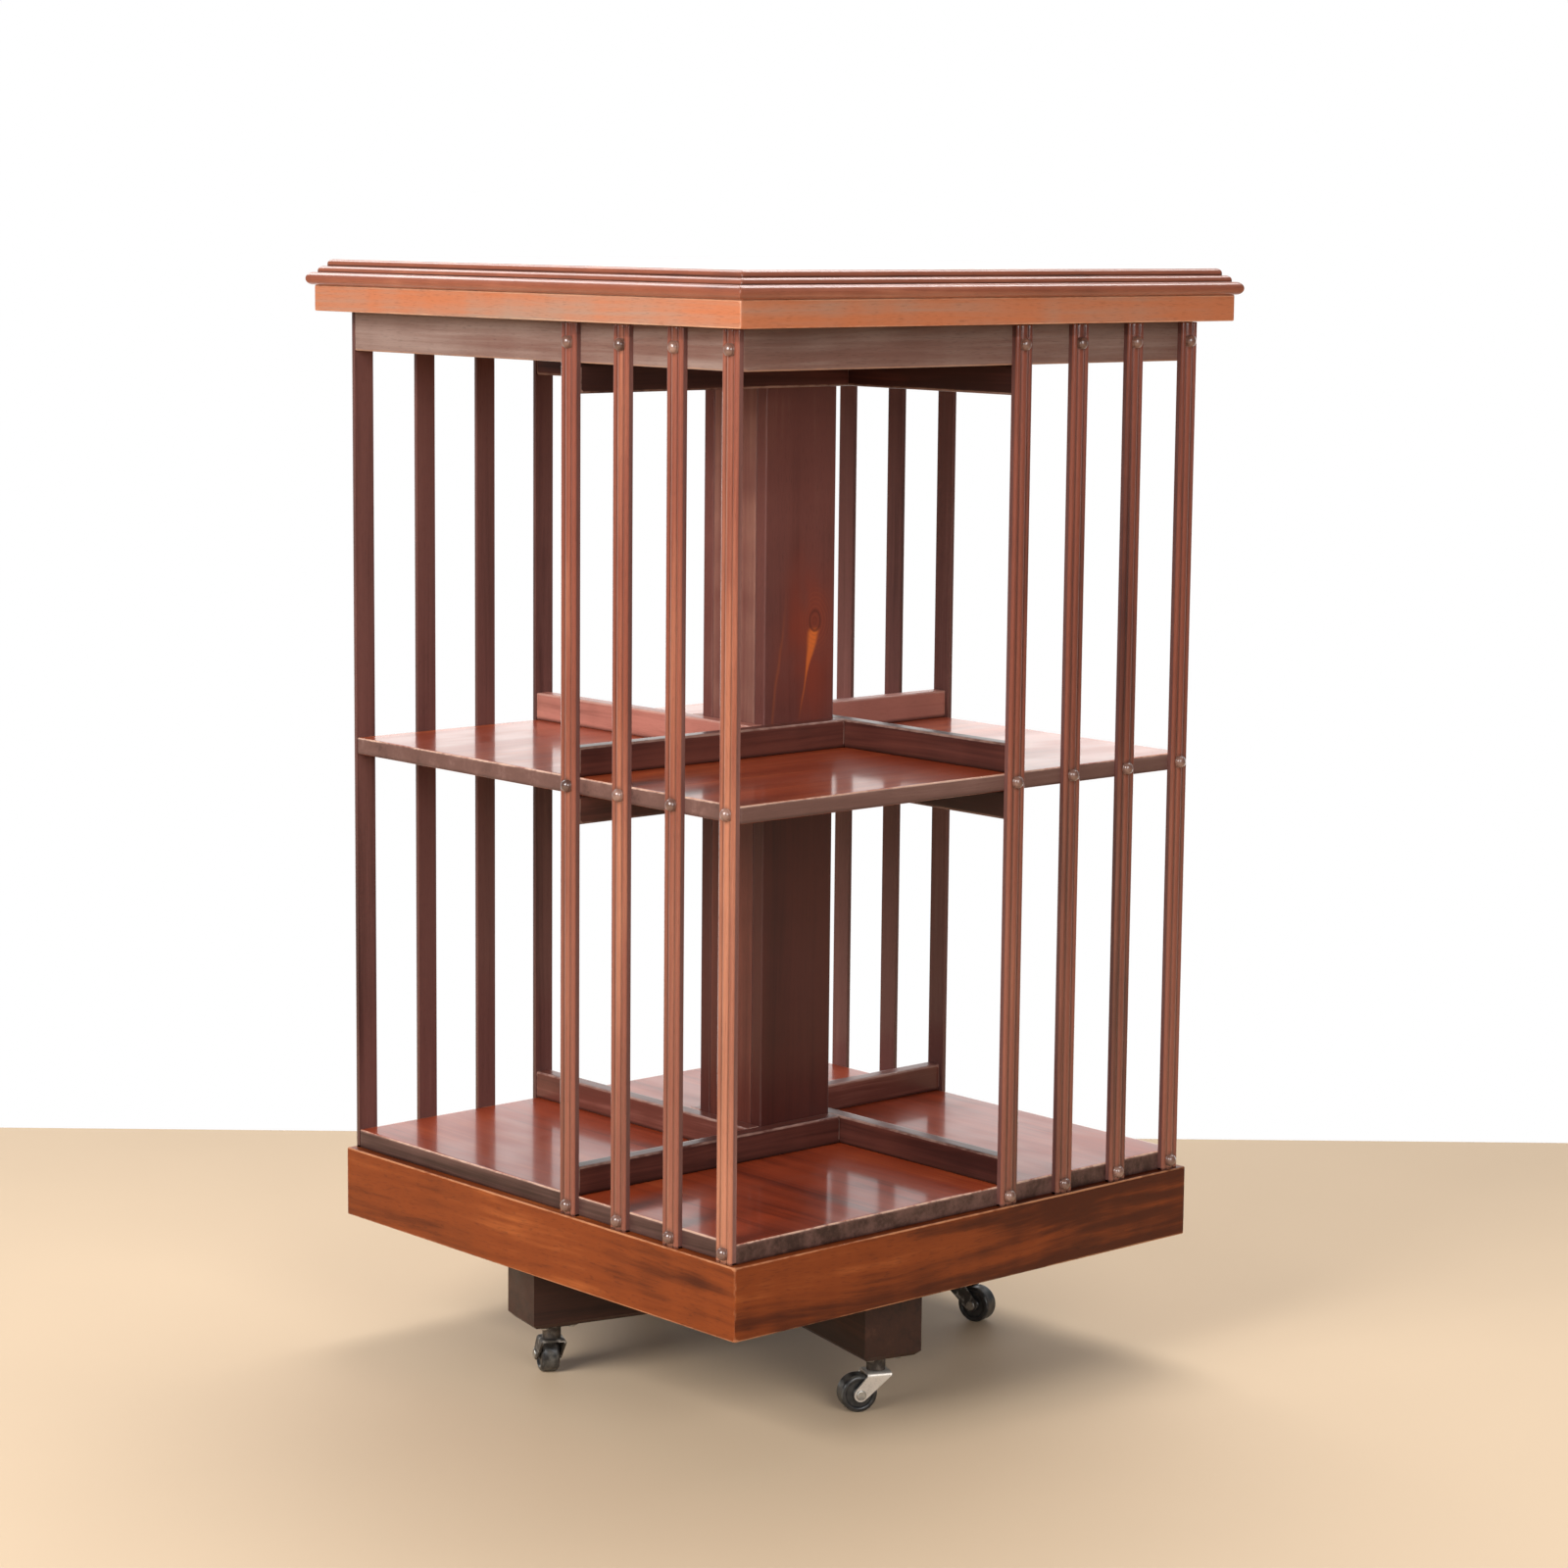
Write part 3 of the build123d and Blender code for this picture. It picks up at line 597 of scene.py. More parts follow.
def wear_group() -> bpy.types.NodeTree:
    """Wear and painted highlight on arrises, dirt and painted shade in hollows, both broken up by noise."""
    takes = {"Place": "Vector", "Wear": "Float", "Hollow": "Float", "Rubbed": "Float", "Grime": "Float"}
    tree, on, given, out = new_group("wear_and_grime", takes, {"Worn": "Float", "Dirty": "Float"})
    patch = on.noise(given["Place"], (14, 60, 60), 2.0)
    chips = on.noise(given["Place"], (130, 260, 260), 2.0)
    proud = on.math("POWER", given["Wear"], 1.6)
    rough = on.total(on.times(patch, 0.9), on.times(chips, 0.5))
    worn = on.ramp(on.times(proud, rough), 0.42, 0.82)
    on.put(out["Worn"], on.times(worn, given["Rubbed"], clamp=True))
    settled_dirt_and_shade = on.times(given["Hollow"], on.ramp(patch, 0.2, 0.7, 0.6, 1.1))
    on.put(out["Dirty"], on.times(settled_dirt_and_shade, given["Grime"], clamp=True))
    return tree


def knot_group() -> bpy.types.NodeTree:
    """A knot on the board that looks along +X, with a bright flare of grain below it.

    The distance from the knot's middle is measured in Y and in a flattened Z. Rings are a
    sine of it. The flare is a flame: a bell across Y that narrows, leans to one side and
    fades downwards. A faint second streak runs beside it, and a red glow lies round both.
    Each mask is one number of metres fading into another.
    """
    gives = {"Knot": "Float", "Rings": "Float", "Flare": "Float", "Glow": "Float"}
    tree, on, given, out = new_group("column_knot", {"Place": "Vector", "Middle": "Vector"}, gives)
    away = on.vector("SUBTRACT", given["Place"], given["Middle"])[0]
    waver = on.noise(given["Place"], (30, 30, 14), 2.0)
    part = on.add("ShaderNodeSeparateXYZ", {"Vector": away}).outputs
    lean = on.total(part["Y"], on.about_zero(waver, 0.010))
    front = on.ramp(on.unsigned(part["X"]), 0.002, 0.003, 1.0, 0.0)
    tall = on.times(part["Z"], 0.72)
    far = on.length(lean, tall)
    rim = on.ramp(on.unsigned(on.less(far, 0.0058)), 0.0003, 0.0014, 1.0, 0.0)
    eye = on.math("MAXIMUM", rim, on.ramp(far, 0.001, 0.006, 0.45, 0.0))
    halo = on.ramp(far, 0.008, 0.026, 1.0, 0.0)
    rings = on.math("SINE", on.times(far, 2400.0))
    drift = on.total(lean, on.times(part["Z"], -0.22))
    width = on.ramp(part["Z"], -0.050, -0.002, 0.0014, 0.0085)
    bell = on.ramp(on.math("DIVIDE", on.unsigned(drift), width), 0.3, 1.0, 1.0, 0.0)
    below = on.ramp(part["Z"], -0.010, -0.004, 1.0, 0.0)
    fade = on.times(on.ramp(part["Z"], -0.090, -0.012), below)
    beside = on.total(on.total(lean, 0.035), on.times(part["Z"], -0.12))
    streak = on.ramp(on.unsigned(beside), 0.0, 0.002, 0.16, 0.0)
    down = on.unsigned(on.total(part["Z"], 0.06))
    streak = on.times(streak, on.ramp(down, 0.02, 0.10, 1.0, 0.0))
    flare = on.math("MAXIMUM", on.times(bell, fade), streak)
    spread = on.length(on.total(lean, 0.008), on.times(on.total(part["Z"], 0.022), 0.42))
    glow = on.times(on.ramp(spread, 0.008, 0.046, 1.0, 0.0), on.ramp(waver, 0.32, 0.60, 0.3, 1.0))
    masks = {"Knot": eye, "Rings": on.times(rings, halo), "Flare": flare, "Glow": glow}
    for label, mask in masks.items():
        on.put(out[label], on.times(mask, front))
    return tree


def tarnish_group() -> bpy.types.NodeTree:
    """Dull cloudy patches, fine scratches and specks on metal, plastic and rubber."""
    takes = {"Place": "Vector", "Patches": "Float", "Specks": "Float"}
    tree, on, given, out = new_group("tarnish", takes, {"Dull": "Float", "Speck": "Float", "Height": "Float"})
    cloud = on.noise(given["Place"], (170, 170, 170), 3.0)
    grit = on.noise(given["Place"], (1500, 1500, 1500), 2.0)
    drawn = on.noise(given["Place"], (300, 300, 4200), 1.0)
    edge = on.less(1.0, given["Patches"])
    on.put(out["Dull"], on.ramp(on.less(cloud, on.times(edge, 0.5)), 0.1, 0.45))
    on.put(out["Speck"], on.times(on.ramp(grit, 0.6, 0.7), given["Specks"]))
    on.put(out["Height"], on.total(on.times(drawn, 0.5), on.times(grit, 0.5)))
    return tree


GROUPS: dict[str, bpy.types.NodeTree] = {}


def group(name: str) -> bpy.types.NodeTree:
    """A shared node group by its short name, built the first time that it is wanted."""
    makers = {"grain": grain_group, "wear": wear_group, "knot": knot_group, "tarnish": tarnish_group}
    if name not in GROUPS:
        GROUPS[name] = makers[name]()
    return GROUPS[name]


# ------------------------------------------------------------------------ finishes
class Finish:
    """What every finish shares: an empty material with a bench and its Principled shader.

    Args:
        name: Name of the material.
    """

    name: str

    def start(self) -> tuple[bpy.types.Material, Bench, bpy.types.Node]:
        """A material with only its shader and its output."""
        material = bpy.data.materials.new(self.name)
        material.use_nodes = True
        material.node_tree.nodes.clear()
        on = Bench(material.node_tree)
        shader = on.add("ShaderNodeBsdfPrincipled")
        on.add("ShaderNodeOutputMaterial", {"Surface": shader.outputs["BSDF"]})
        return material, on, shader


@dataclass(frozen=True)
class WoodFinish(Finish):
    """Stained and French-polished wood.

    Args:
        name: The finish's name.
        dark: Colour of the darkest grain.
        middle: Colour between.
        light: Colour of the lightest grain.
        worn: Colour where wear has taken off the stain, and of the painted highlight along arrises.
        contrast: Strength of the bands.
        coarse: Width of the bands, 1 for the usual one.
        figure: Strength of the cross figure.
        pores: Depth of the open pores.
        rough: Roughness of the wood under its polish.
        coat: Weight of the polish.
        coat_rough: Roughness of the polish.
        sheen: Specular level of the wood under its polish.
        rubbed: How strongly the arrises take that colour, for wear and painted highlight.
        grime: How dark the hollows are painted, for dirt and painted shade.
        pattern: Where the grain is read from.
        turn: Angle about Z that lays the grain of a CAD node along X.
        knot: Middle of a knot, where the board has one.
    """

    name: str
    dark: Colour
    middle: Colour
    light: Colour
    worn: Colour = (0.50, 0.27, 0.15)
    contrast: float = 0.8
    coarse: float = 1.0
    figure: float = 0.15
    pores: float = 0.7
    rough: float = 0.42
    coat: float = 0.45
    coat_rough: float = 0.16
    sheen: float = 0.3
    rubbed: float = 0.7
    grime: float = 0.85
    pattern: Pattern = Pattern.BOARD
    turn: float = 0.0
    knot: tuple[float, float, float] | None = None

    def build(self) -> bpy.types.Material:
        """The finish as a material.

        Smears move the roughness from 0.05 below its value to 0.07 above it. Places with wear and painted
        highlight are 0.12 rougher, and those and places with dirt and painted shade keep 0.4 of their polish.
        """
        material, on, shader = self.start()
        at_object = on.at_object()
        if self.pattern is Pattern.CAD:
            turned = {"Vector": at_object, "Rotation": (0.0, 0.0, self.turn)}
            place = on.add("ShaderNodeMapping", turned).outputs[0]
            wear, hollow, tone = 0.0, 0.0, MIDDLE_TONE
        else:
            place = on.add("ShaderNodeAttribute", attribute_name="grain_at").outputs["Vector"]
            wear, hollow, tone = (on.painted(label) for label in ("wear", "hollow", "tone"))
        across = 1 / self.coarse
        grain = on.use("grain", {
            "Place": on.scaled(place, (1.0, across, across)), "Tone": tone,
            "Dark": self.dark, "Middle": self.middle, "Light": self.light,
            "Contrast": self.contrast, "Figure": self.figure, "Pores": self.pores,
        })
        edges = on.use("wear", {
            "Place": place, "Wear": wear, "Hollow": hollow, "Rubbed": self.rubbed, "Grime": self.grime,
        })
        colour = self.knotted(on, at_object, grain["Color"]) if self.knot else grain["Color"]
        # paler colour where the wear and painted highlight lie
        colour = on.mix(edges["Worn"], colour, self.worn)
        # dark colour where dirt and painted shade lie
        colour = on.mix(edges["Dirty"], colour, GRIME_AND_SHADE)
        smear = on.ramp(grain["Smear"], 0.35, 0.65, self.rough - 0.05, self.rough + 0.07)
        dulled = on.math("MAXIMUM", edges["Worn"], edges["Dirty"])
        on.feed(shader, {
            "Base Color": colour,
            "Roughness": on.total(smear, on.times(edges["Worn"], 0.12)),
            "Coat Weight": on.times(on.less(1.0, on.times(dulled, 0.6)), self.coat),
            "Coat Roughness": self.coat_rough,
            "Specular IOR Level": self.sheen,
            "Normal": on.bump(grain["Height"], 0.1 + 0.35 * self.pores, 0.12 * MM),
        })
        return material

    def knotted(self, on: Bench, place: Input, colour: Input) -> Socket:
        """The grain's colour with the knot's glow, flare, rings and eye painted in, in that order."""
        knot = on.use("knot", {"Place": place, "Middle": self.knot})
        for mask, share, paint in (
            ("Glow", 0.75, (0.205, 0.030, 0.012)), ("Flare", 0.9, (0.60, 0.135, 0.022)),
            ("Rings", 0.3, (0.27, 0.06, 0.025)), ("Knot", 0.6, (0.05, 0.012, 0.008)),
        ):
            colour = on.mix(on.times(knot[mask], share), colour, paint)
        return colour


@dataclass(frozen=True)
class MetalFinish(Finish):
    """Bare or plated metal with tarnish.

    Args:
        name: The finish's name.
        bright: Colour of the clean metal.
        dull: Colour of the tarnish.
        rough: Roughness of the clean metal.
        patches: How much of it is tarnished.
        metal: How metallic it is.
        toned: True where darker pieces are more tarnished.
    """

    name: str
    bright: Colour
    dull: Colour
    rough: float = 0.32
    patches: float = 0.4
    metal: float = 1.0
    toned: bool = False

    def build(self) -> bpy.types.Material:
        """The finish as a material."""
        material, on, shader = self.start()
        spent = on.less(1.0, on.painted("tone"), clamp=True) if self.toned else self.patches
        tarnish = on.use("tarnish", {"Place": on.at_object(), "Patches": spent, "Specks": 0.5})
        dulled = on.math("MAXIMUM", tarnish["Dull"], tarnish["Speck"])
        on.feed(shader, {
            "Base Color": on.mix(dulled, self.bright, self.dull),
            "Roughness": on.ramp(dulled, 0.0, 1.0, self.rough, self.rough + 0.25),
            "Metallic": on.ramp(dulled, 0.0, 1.0, self.metal, self.metal * 0.5),
            "Normal": on.bump(tarnish["Height"], 0.3, 0.05 * MM),
        })
        return material


@dataclass(frozen=True)
class WheelFinish(Finish):
    """Hard black plastic, scuffed and dusty on the tread.

    Args:
        name: The finish's name.
        black: Colour of the clean plastic.
        dust: Colour of the dust on it.
    """

    name: str
    black: Colour
    dust: Colour

    def build(self) -> bpy.types.Material:
        """The finish as a material."""
        material, on, shader = self.start()
        tarnish = on.use("tarnish", {"Place": on.at_object(), "Patches": 0.5, "Specks": 0.6})
        dusty = on.times(tarnish["Dull"], on.ramp(on.painted("wear"), 0.0, 1.0, 0.12, 0.45))
        dusty = on.math("MAXIMUM", dusty, on.times(tarnish["Speck"], 0.3))
        on.feed(shader, {
            "Base Color": on.mix(dusty, self.black, self.dust),
            "Roughness": on.ramp(dusty, 0.0, 0.5, 0.3, 0.65),
            "Normal": on.bump(tarnish["Height"], 0.4, 0.1 * MM),
        })
        return material


@dataclass(frozen=True)
class FloorFinish(Finish):
    """A pale matt floor, clouded a little.

    Args:
        name: The finish's name.
        pale: Its colour.
    """

    name: str
    pale: Colour

    def build(self) -> bpy.types.Material:
        """The finish as a material."""
        material, on, shader = self.start()
        cloud = on.ramp(on.noise(on.at_object(), (1.3, 1.3, 1.3), 3.0), 0.3, 0.7)
        darker = tuple(0.95 * part for part in self.pale)
        colour = on.mix(cloud, self.pale, darker)
        on.feed(shader, {"Base Color": colour, "Roughness": 0.6, "Specular IOR Level": 0.15})
        return material


FINISHES: dict[str, Finish] = {
    "slat": WoodFinish(
        "slat_polish", (0.050, 0.012, 0.008), (0.200, 0.056, 0.033), (0.40, 0.150, 0.082),
        worn=(0.46, 0.23, 0.13), contrast=0.42, figure=0.10, pores=0.35, coat=1.0, coat_rough=0.07,
        rough=0.38, sheen=0.13, rubbed=0.25, grime=0.5,
    ),
    "slat_back": WoodFinish(
        "slat_back_polish", (0.045, 0.017, 0.015), (0.135, 0.055, 0.046), (0.24, 0.11, 0.09),
        contrast=0.4, figure=0.10, pores=0.3, coat=0.35, coat_rough=0.15, sheen=0.15, rubbed=0.1, grime=0.6,
    ),
    "stud": WoodFinish(
        "stud_polish", (0.050, 0.022, 0.016), (0.150, 0.075, 0.055), (0.30, 0.17, 0.13),
        contrast=0.5, pores=0.3, coat=1.0, coat_rough=0.06, rough=0.34, rubbed=0.25, grime=0.9,
    ),
    "plinth": WoodFinish(
        "plinth_polish", (0.060, 0.010, 0.002), (0.190, 0.037, 0.006), (0.36, 0.095, 0.022),
        worn=(0.55, 0.25, 0.12), contrast=0.85, coarse=2.3, figure=0.30, pores=0.4, coat=0.12,
        coat_rough=0.25, rubbed=0.6, sheen=0.16,
    ),
    "frieze": WoodFinish(
        "frieze_polish", (0.20, 0.042, 0.014), (0.43, 0.138, 0.058), (0.29, 0.205, 0.155),
        worn=(0.66, 0.38, 0.24), contrast=0.35, figure=0.25, pores=0.4, coat=0.3, coat_rough=0.22, rubbed=0.4,
    ),
    "top": WoodFinish(
        "top_polish", (0.085, 0.022, 0.012), (0.23, 0.068, 0.036), (0.40, 0.15, 0.085),
        worn=(0.52, 0.30, 0.20), contrast=0.5, figure=0.3, pores=0.3, coat=0.7, coat_rough=0.13, rough=0.40,
        rubbed=0.35, sheen=0.15,
    ),
    "shelf": WoodFinish(
        "shelf_polish", (0.095, 0.012, 0.004), (0.29, 0.042, 0.012), (0.46, 0.095, 0.028),
        worn=(0.66, 0.42, 0.30), contrast=0.5, figure=0.2, pores=0.1, coat=0.5, coat_rough=0.10, rough=0.34,
        rubbed=0.8, sheen=0.2,
    ),
    "shelf_edge": WoodFinish(
        "shelf_edge_polish", (0.030, 0.012, 0.009), (0.125, 0.062, 0.050), (0.23, 0.13, 0.11),
        worn=(0.54, 0.36, 0.28), contrast=0.45, pores=0.3, coat=0.25, coat_rough=0.3, rough=0.5, rubbed=0.8,
        sheen=0.2,
    ),
    "rail": WoodFinish(
        "rail_polish", (0.030, 0.008, 0.006), (0.115, 0.033, 0.023), (0.42, 0.160, 0.120),
        worn=(0.52, 0.33, 0.26), contrast=0.4, pores=0.2, coat=0.3, coat_rough=0.2, rubbed=0.4, sheen=0.2,
    ),
    "apron": WoodFinish(
        "apron_polish", (0.060, 0.026, 0.020), (0.155, 0.078, 0.060), (0.265, 0.185, 0.155),
        worn=(0.48, 0.24, 0.13), contrast=0.45, pores=0.4, coat=0.25, coat_rough=0.3, rough=0.5, rubbed=0.4,
        sheen=0.2,
    ),
    "column_lower": WoodFinish(
        "lower_column_polish", (0.022, 0.005, 0.004), (0.062, 0.014, 0.010), (0.14, 0.038, 0.024),
        contrast=0.3, pores=0.4, coat=0.3, coat_rough=0.2, rubbed=0.0,
    ),
    "column_upper": WoodFinish(
        "upper_column_polish", (0.042, 0.012, 0.010), (0.125, 0.039, 0.031), (0.27, 0.125, 0.090),
        contrast=0.24, figure=0.3, pores=0.4, coat=0.3, coat_rough=0.2, rubbed=0.0,
        knot=(0.0375, 0.0168, 0.6065),
    ),
    "foot_upper": WoodFinish(
        "foot_stain_upper", (0.010, 0.003, 0.002), (0.033, 0.010, 0.005), (0.072, 0.026, 0.014),
        contrast=0.7, coat=0.1, coat_rough=0.35, rough=0.5, pattern=Pattern.CAD, turn=math.radians(13.8),
    ),
    "foot_lower": WoodFinish(
        "foot_stain_lower", (0.010, 0.003, 0.002), (0.036, 0.011, 0.006), (0.080, 0.028, 0.015),
        contrast=0.7, coat=0.1, coat_rough=0.35, rough=0.5, pattern=Pattern.CAD, turn=math.radians(-76.2),
    ),
    "carcass": WoodFinish(
        "bare_pine", (0.20, 0.10, 0.05), (0.40, 0.23, 0.12), (0.55, 0.36, 0.21),
        contrast=0.5, coat=0.0, rough=0.7, pores=0.2, pattern=Pattern.CAD,
    ),
    "fork": MetalFinish(
        "castor_zinc", (0.61, 0.56, 0.50), (0.050, 0.042, 0.034), 0.36, metal=0.55, toned=True,
    ),
    "plate": MetalFinish("plate_steel", (0.17, 0.15, 0.13), (0.05, 0.04, 0.033), 0.42, 0.7),
    "screw": MetalFinish("screw_steel", (0.50, 0.49, 0.46), (0.12, 0.10, 0.08), 0.34, 0.4),
    "spindle": MetalFinish("spindle_steel", (0.55, 0.55, 0.56), (0.20, 0.17, 0.14), 0.24, 0.3),
    "iron": MetalFinish("black_iron", (0.09, 0.088, 0.085), (0.05, 0.036, 0.028), 0.55, 0.5, 0.6),
    "brass": MetalFinish("old_brass", (0.72, 0.50, 0.22), (0.26, 0.17, 0.08), 0.3, 0.45),
    "wheel": WheelFinish("wheel_black", (0.012, 0.012, 0.013), (0.20, 0.18, 0.15)),
    "floor": FloorFinish("pale_floor", (0.585, 0.440, 0.295)),
}

MADE: dict[str, bpy.types.Material] = {}


def finished(name: str) -> bpy.types.Material:
    """The material of a finish, built the first time that it is wanted."""
    if name not in MADE:
        MADE[name] = FINISHES[name].build()
    return MADE[name]


# ------------------------------------------------------------------------ pieces
def make_piece(
    name: str, shells: list[Shell], finish: str, body: str, slot: str, *nodes: str,
    second: str = "", chosen: Callable[[np.ndarray], np.ndarray] | None = None,
) -> bpy.types.Object:
    """Makes one piece of the visual model from its shells.

    Args:
        name: The piece's name.
        shells: Its closed surfaces.
        finish: Name of its finish.
        body: Body of the frame that it rides on.
        slot: Material slot of the record; not used.
        nodes: Nodes of the frame that it stands for.
        second: Name of the finish of some of its faces, where they have their own.
        chosen: Says from an (n, 3) array of face normals which faces those are.

    Returns:
        The new object.
    """
    whole = joined(shells)
    mesh = bpy.data.meshes.new(name)
    mesh.from_pydata(whole.points, [], whole.faces)
    mesh.polygons.foreach_set("use_smooth", np.ones(len(mesh.polygons), bool))
    for label, values in (("wear", whole.wear), ("hollow", whole.hollow), ("tone", whole.tone)):
        mesh.attributes.new(label, "FLOAT", "POINT").data.foreach_set("value", values.astype(np.float32))
    grain_at = mesh.attributes.new("grain_at", "FLOAT_VECTOR", "POINT")
    grain_at.data.foreach_set("vector", whole.grain.astype(np.float32).ravel())
    mesh.set_sharp_from_angle(angle=SHARP_ANGLE)
    mesh.materials.append(finished(finish))
    mesh.validate()
    if second:
        mesh.materials.append(finished(second))
        normals = np.empty(len(mesh.polygons) * 3, np.float32)
        mesh.polygons.foreach_get("normal", normals)
        mesh.polygons.foreach_set("material_index", chosen(normals.reshape(-1, 3)).astype(np.int32))
    piece = bpy.data.objects.new(name, mesh)
    bpy.context.scene.collection.objects.link(piece)
    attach(piece, body)
    if nodes:
        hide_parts(*nodes)
    log.info("%s: %d faces on %s", name, len(mesh.polygons), body)
    return piece


def dress(node: str, finish: str) -> None:
    """Gives a node of the frame a better material."""
    piece = frame["nodes"][node]
    if not piece.material_slots:
        piece.data.materials.append(finished(finish))
    for place in piece.material_slots:
        place.material = finished(finish)
    log.info("%s: dressed in %s", node, finish)


# ------------------------------------------------------------------------ the case
@dataclass
class CaseSizes:
    """Heights and half widths of the case, read from the frame.

    Args:
        half: Half the width of the shelves.
        plinth_half: Half the width over the plinth.
        plinth_low: Underside of the plinth.
        plinth_high: Its upper edge, where the base shelf starts.
        base_high: Upper face of the base shelf.
        mid_low: Underside of the middle shelf.
        mid_high: Its upper face.
        deck_low: Lower edge of the aprons.
        frieze_low: Lower edge of the frieze.
        frieze_high: Its upper edge, where the top starts.
        top_high: Upper face of the top.
        frieze_half: Half the width over the frieze.
        bead_half: Half the width over the top's bead.
        column_half: Half the width of the column.
        stud_high: Upper edge of the top row of studs.
        stud_radius: Radius of a stud.
    """

    half: float
    plinth_half: float
    plinth_low: float
    plinth_high: float
    base_high: float
    mid_low: float
    mid_high: float
    deck_low: float
    frieze_low: float
    frieze_high: float
    top_high: float
    frieze_half: float
    bead_half: float
    column_half: float
    stud_high: float
    stud_radius: float = 5.25 * MM

    @property
    def stud_heights(self) -> tuple[float, float, float]:
        """Heights of a slat's studs: on the base shelf, the middle shelf and the apron."""
        base, mid = self.plinth_high + self.base_high, self.mid_low + self.mid_high
        return base / 2, mid / 2, self.stud_high - self.stud_radius

    @classmethod
    def read(cls) -> "CaseSizes":
        """Measures the frame's nodes."""
        plinth, base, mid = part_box("plinth_board_front"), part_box("base_shelf"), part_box("mid_shelf")
        apron, frieze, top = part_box("apron_boards"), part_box("frieze_mouldings"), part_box("top_board")
        return cls(
            half=mid[1].x, plinth_half=plinth[1].x, plinth_low=plinth[0].z, plinth_high=plinth[1].z,
            base_high=base[1].z, mid_low=mid[0].z, mid_high=mid[1].z, deck_low=apron[0].z,
            frieze_low=frieze[0].z, frieze_high=frieze[1].z, top_high=top[1].z,
            frieze_half=frieze[1].x, bead_half=top[1].x, column_half=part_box("column_upper_boards")[1].x,
            stud_high=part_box("slat_studs")[1].z,
        )


@dataclass
class CasePart:
    """What every sub-assembly of the case shares.

    Args:
        case: Sizes of the case.
        rng: Draws each piece's place in its plank, in the order of building.
    """

    case: CaseSizes
    rng: np.random.Generator

    def stray(self, most: float) -> float:
        """A random step in tone, up or down."""
        return most * self.rng.uniform(-1, 1)

    def fitted(self, board: Shell, grain: Grain, tone: float | np.ndarray, side: Side) -> Shell:
        """A board of the front side cut from its plank, toned and turned to its own side."""
        return board.cut_from(grain, self.rng).toned(tone).on_side(side)


@dataclass
class Plinth(CasePart):
    """Four mitred boards round the bottom of the case.

    Args:
        thick: Thickness of the boards.
        arris: Radius of their edges.
        corner: Radius of the upright corners.
        tones: Tone of each side's board, painted light and shade: lighter on the lit front, darker on the
            right.
    """

    thick: float = 18 * MM
    arris: float = 0.9 * MM
    corner: float = 1.3 * MM
    tones: tuple[float, ...] = (0.56, 0.10, 0.5, 0.45)

    def build(self) -> None:
        """Makes the four boards."""
        case = self.case
        low = (case.plinth_half - self.thick, case.plinth_low)
        section = eased(rectangle(low, (case.plinth_half, case.plinth_high)), self.arris)
        for side in Side:
            board = self.fitted(mitred_length(section, self.corner), Grain.X, self.tones[side], side)
            node = f"plinth_board_{side.word}"
            make_piece(f"plinth_{side.word}", [board], "plinth", "case", "plinth_mahogany", node)


@dataclass
class Shelves(CasePart):
    """The base shelf and the middle shelf, polished above and eased all round.

    Args:
        arris: Radius of the edges.
        corner: Radius of the corners seen from above.
        worn_above: Share of a shelf's thickness above which its upper arris keeps its wear and painted
            highlight.
        shaded_below: Share below which its lower arris has painted shade.
        grime: How dark that painted shade is.
        upright: Vertical part of a normal below which a face belongs to the edge.
    """

    arris: float = 0.9 * MM
    corner: float = 1.6 * MM
    worn_above: float = 0.93
    shaded_below: float = 0.12
    grime: float = 0.5
    upright: float = 0.6

    def build(self) -> None:
        """Makes both shelves."""
        case, reach = self.case, self.case.half
        for name, low, high, grain, tone, edge_tone in (
            ("base_shelf", case.plinth_high, case.base_high, Grain.X, 0.46, 0.22),
            ("mid_shelf", case.mid_low, case.mid_high, Grain.Y, 0.60, 0.50),
        ):
            shelf = block((-reach, -reach, low), (reach, reach, high), 2, self.arris, self.corner)
            rise = (shelf.points[:, 2] - low) / (high - low)
            edge = rise < self.worn_above
            shelf.wear = np.where(edge, 0.0, shelf.wear)
            # painted shade along the lower arris of each shelf's edge
            shelf.hollow = np.where(rise < self.shaded_below, self.grime, 0.0)
            shelf = shelf.cut_from(grain, self.rng).toned(np.where(edge, edge_tone, tone))
            make_piece(
                f"polished_{name}", [shelf], "shelf", "case", "shelf_mahogany", name,
                second="shelf_edge", chosen=lambda normals: np.abs(normals[:, 2]) < self.upright,
            )


@dataclass
class Column(CasePart):
    """The hollow column of each tier, two wide boards and two narrow ones between them.

    Args:
        wall: Thickness of the boards.
        arris: Radius of their edges.
        joint: Hairline left at each end of a narrow board.
        tones: Tone of each side's board, painted light and shade: lighter on the lit front.
    """

    wall: float = 12 * MM
    arris: float = 0.8 * MM
    joint: float = 0.05 * MM
    tones: tuple[float, ...] = (0.72, 0.45, 0.5, 0.5)

    def build(self) -> None:
        """Makes both tiers."""
        case = self.case
        half, bore = case.column_half, case.column_half - self.wall
        for tier, low, high in (
            ("lower", case.base_high, case.mid_low), ("upper", case.mid_high, case.deck_low),
        ):
            boards = []
            for side in Side:
                reach = half if side in (Side.RIGHT, Side.LEFT) else bore - self.joint
                board = block((-reach, -half, low), (reach, -bore, high), 2, self.arris)
                boards.append(self.fitted(board, Grain.Z, self.tones[side], side))
            node = f"column_{tier}_boards"
            make_piece(f"column_{tier}", boards, f"column_{tier}", "case", "column_wood", node)


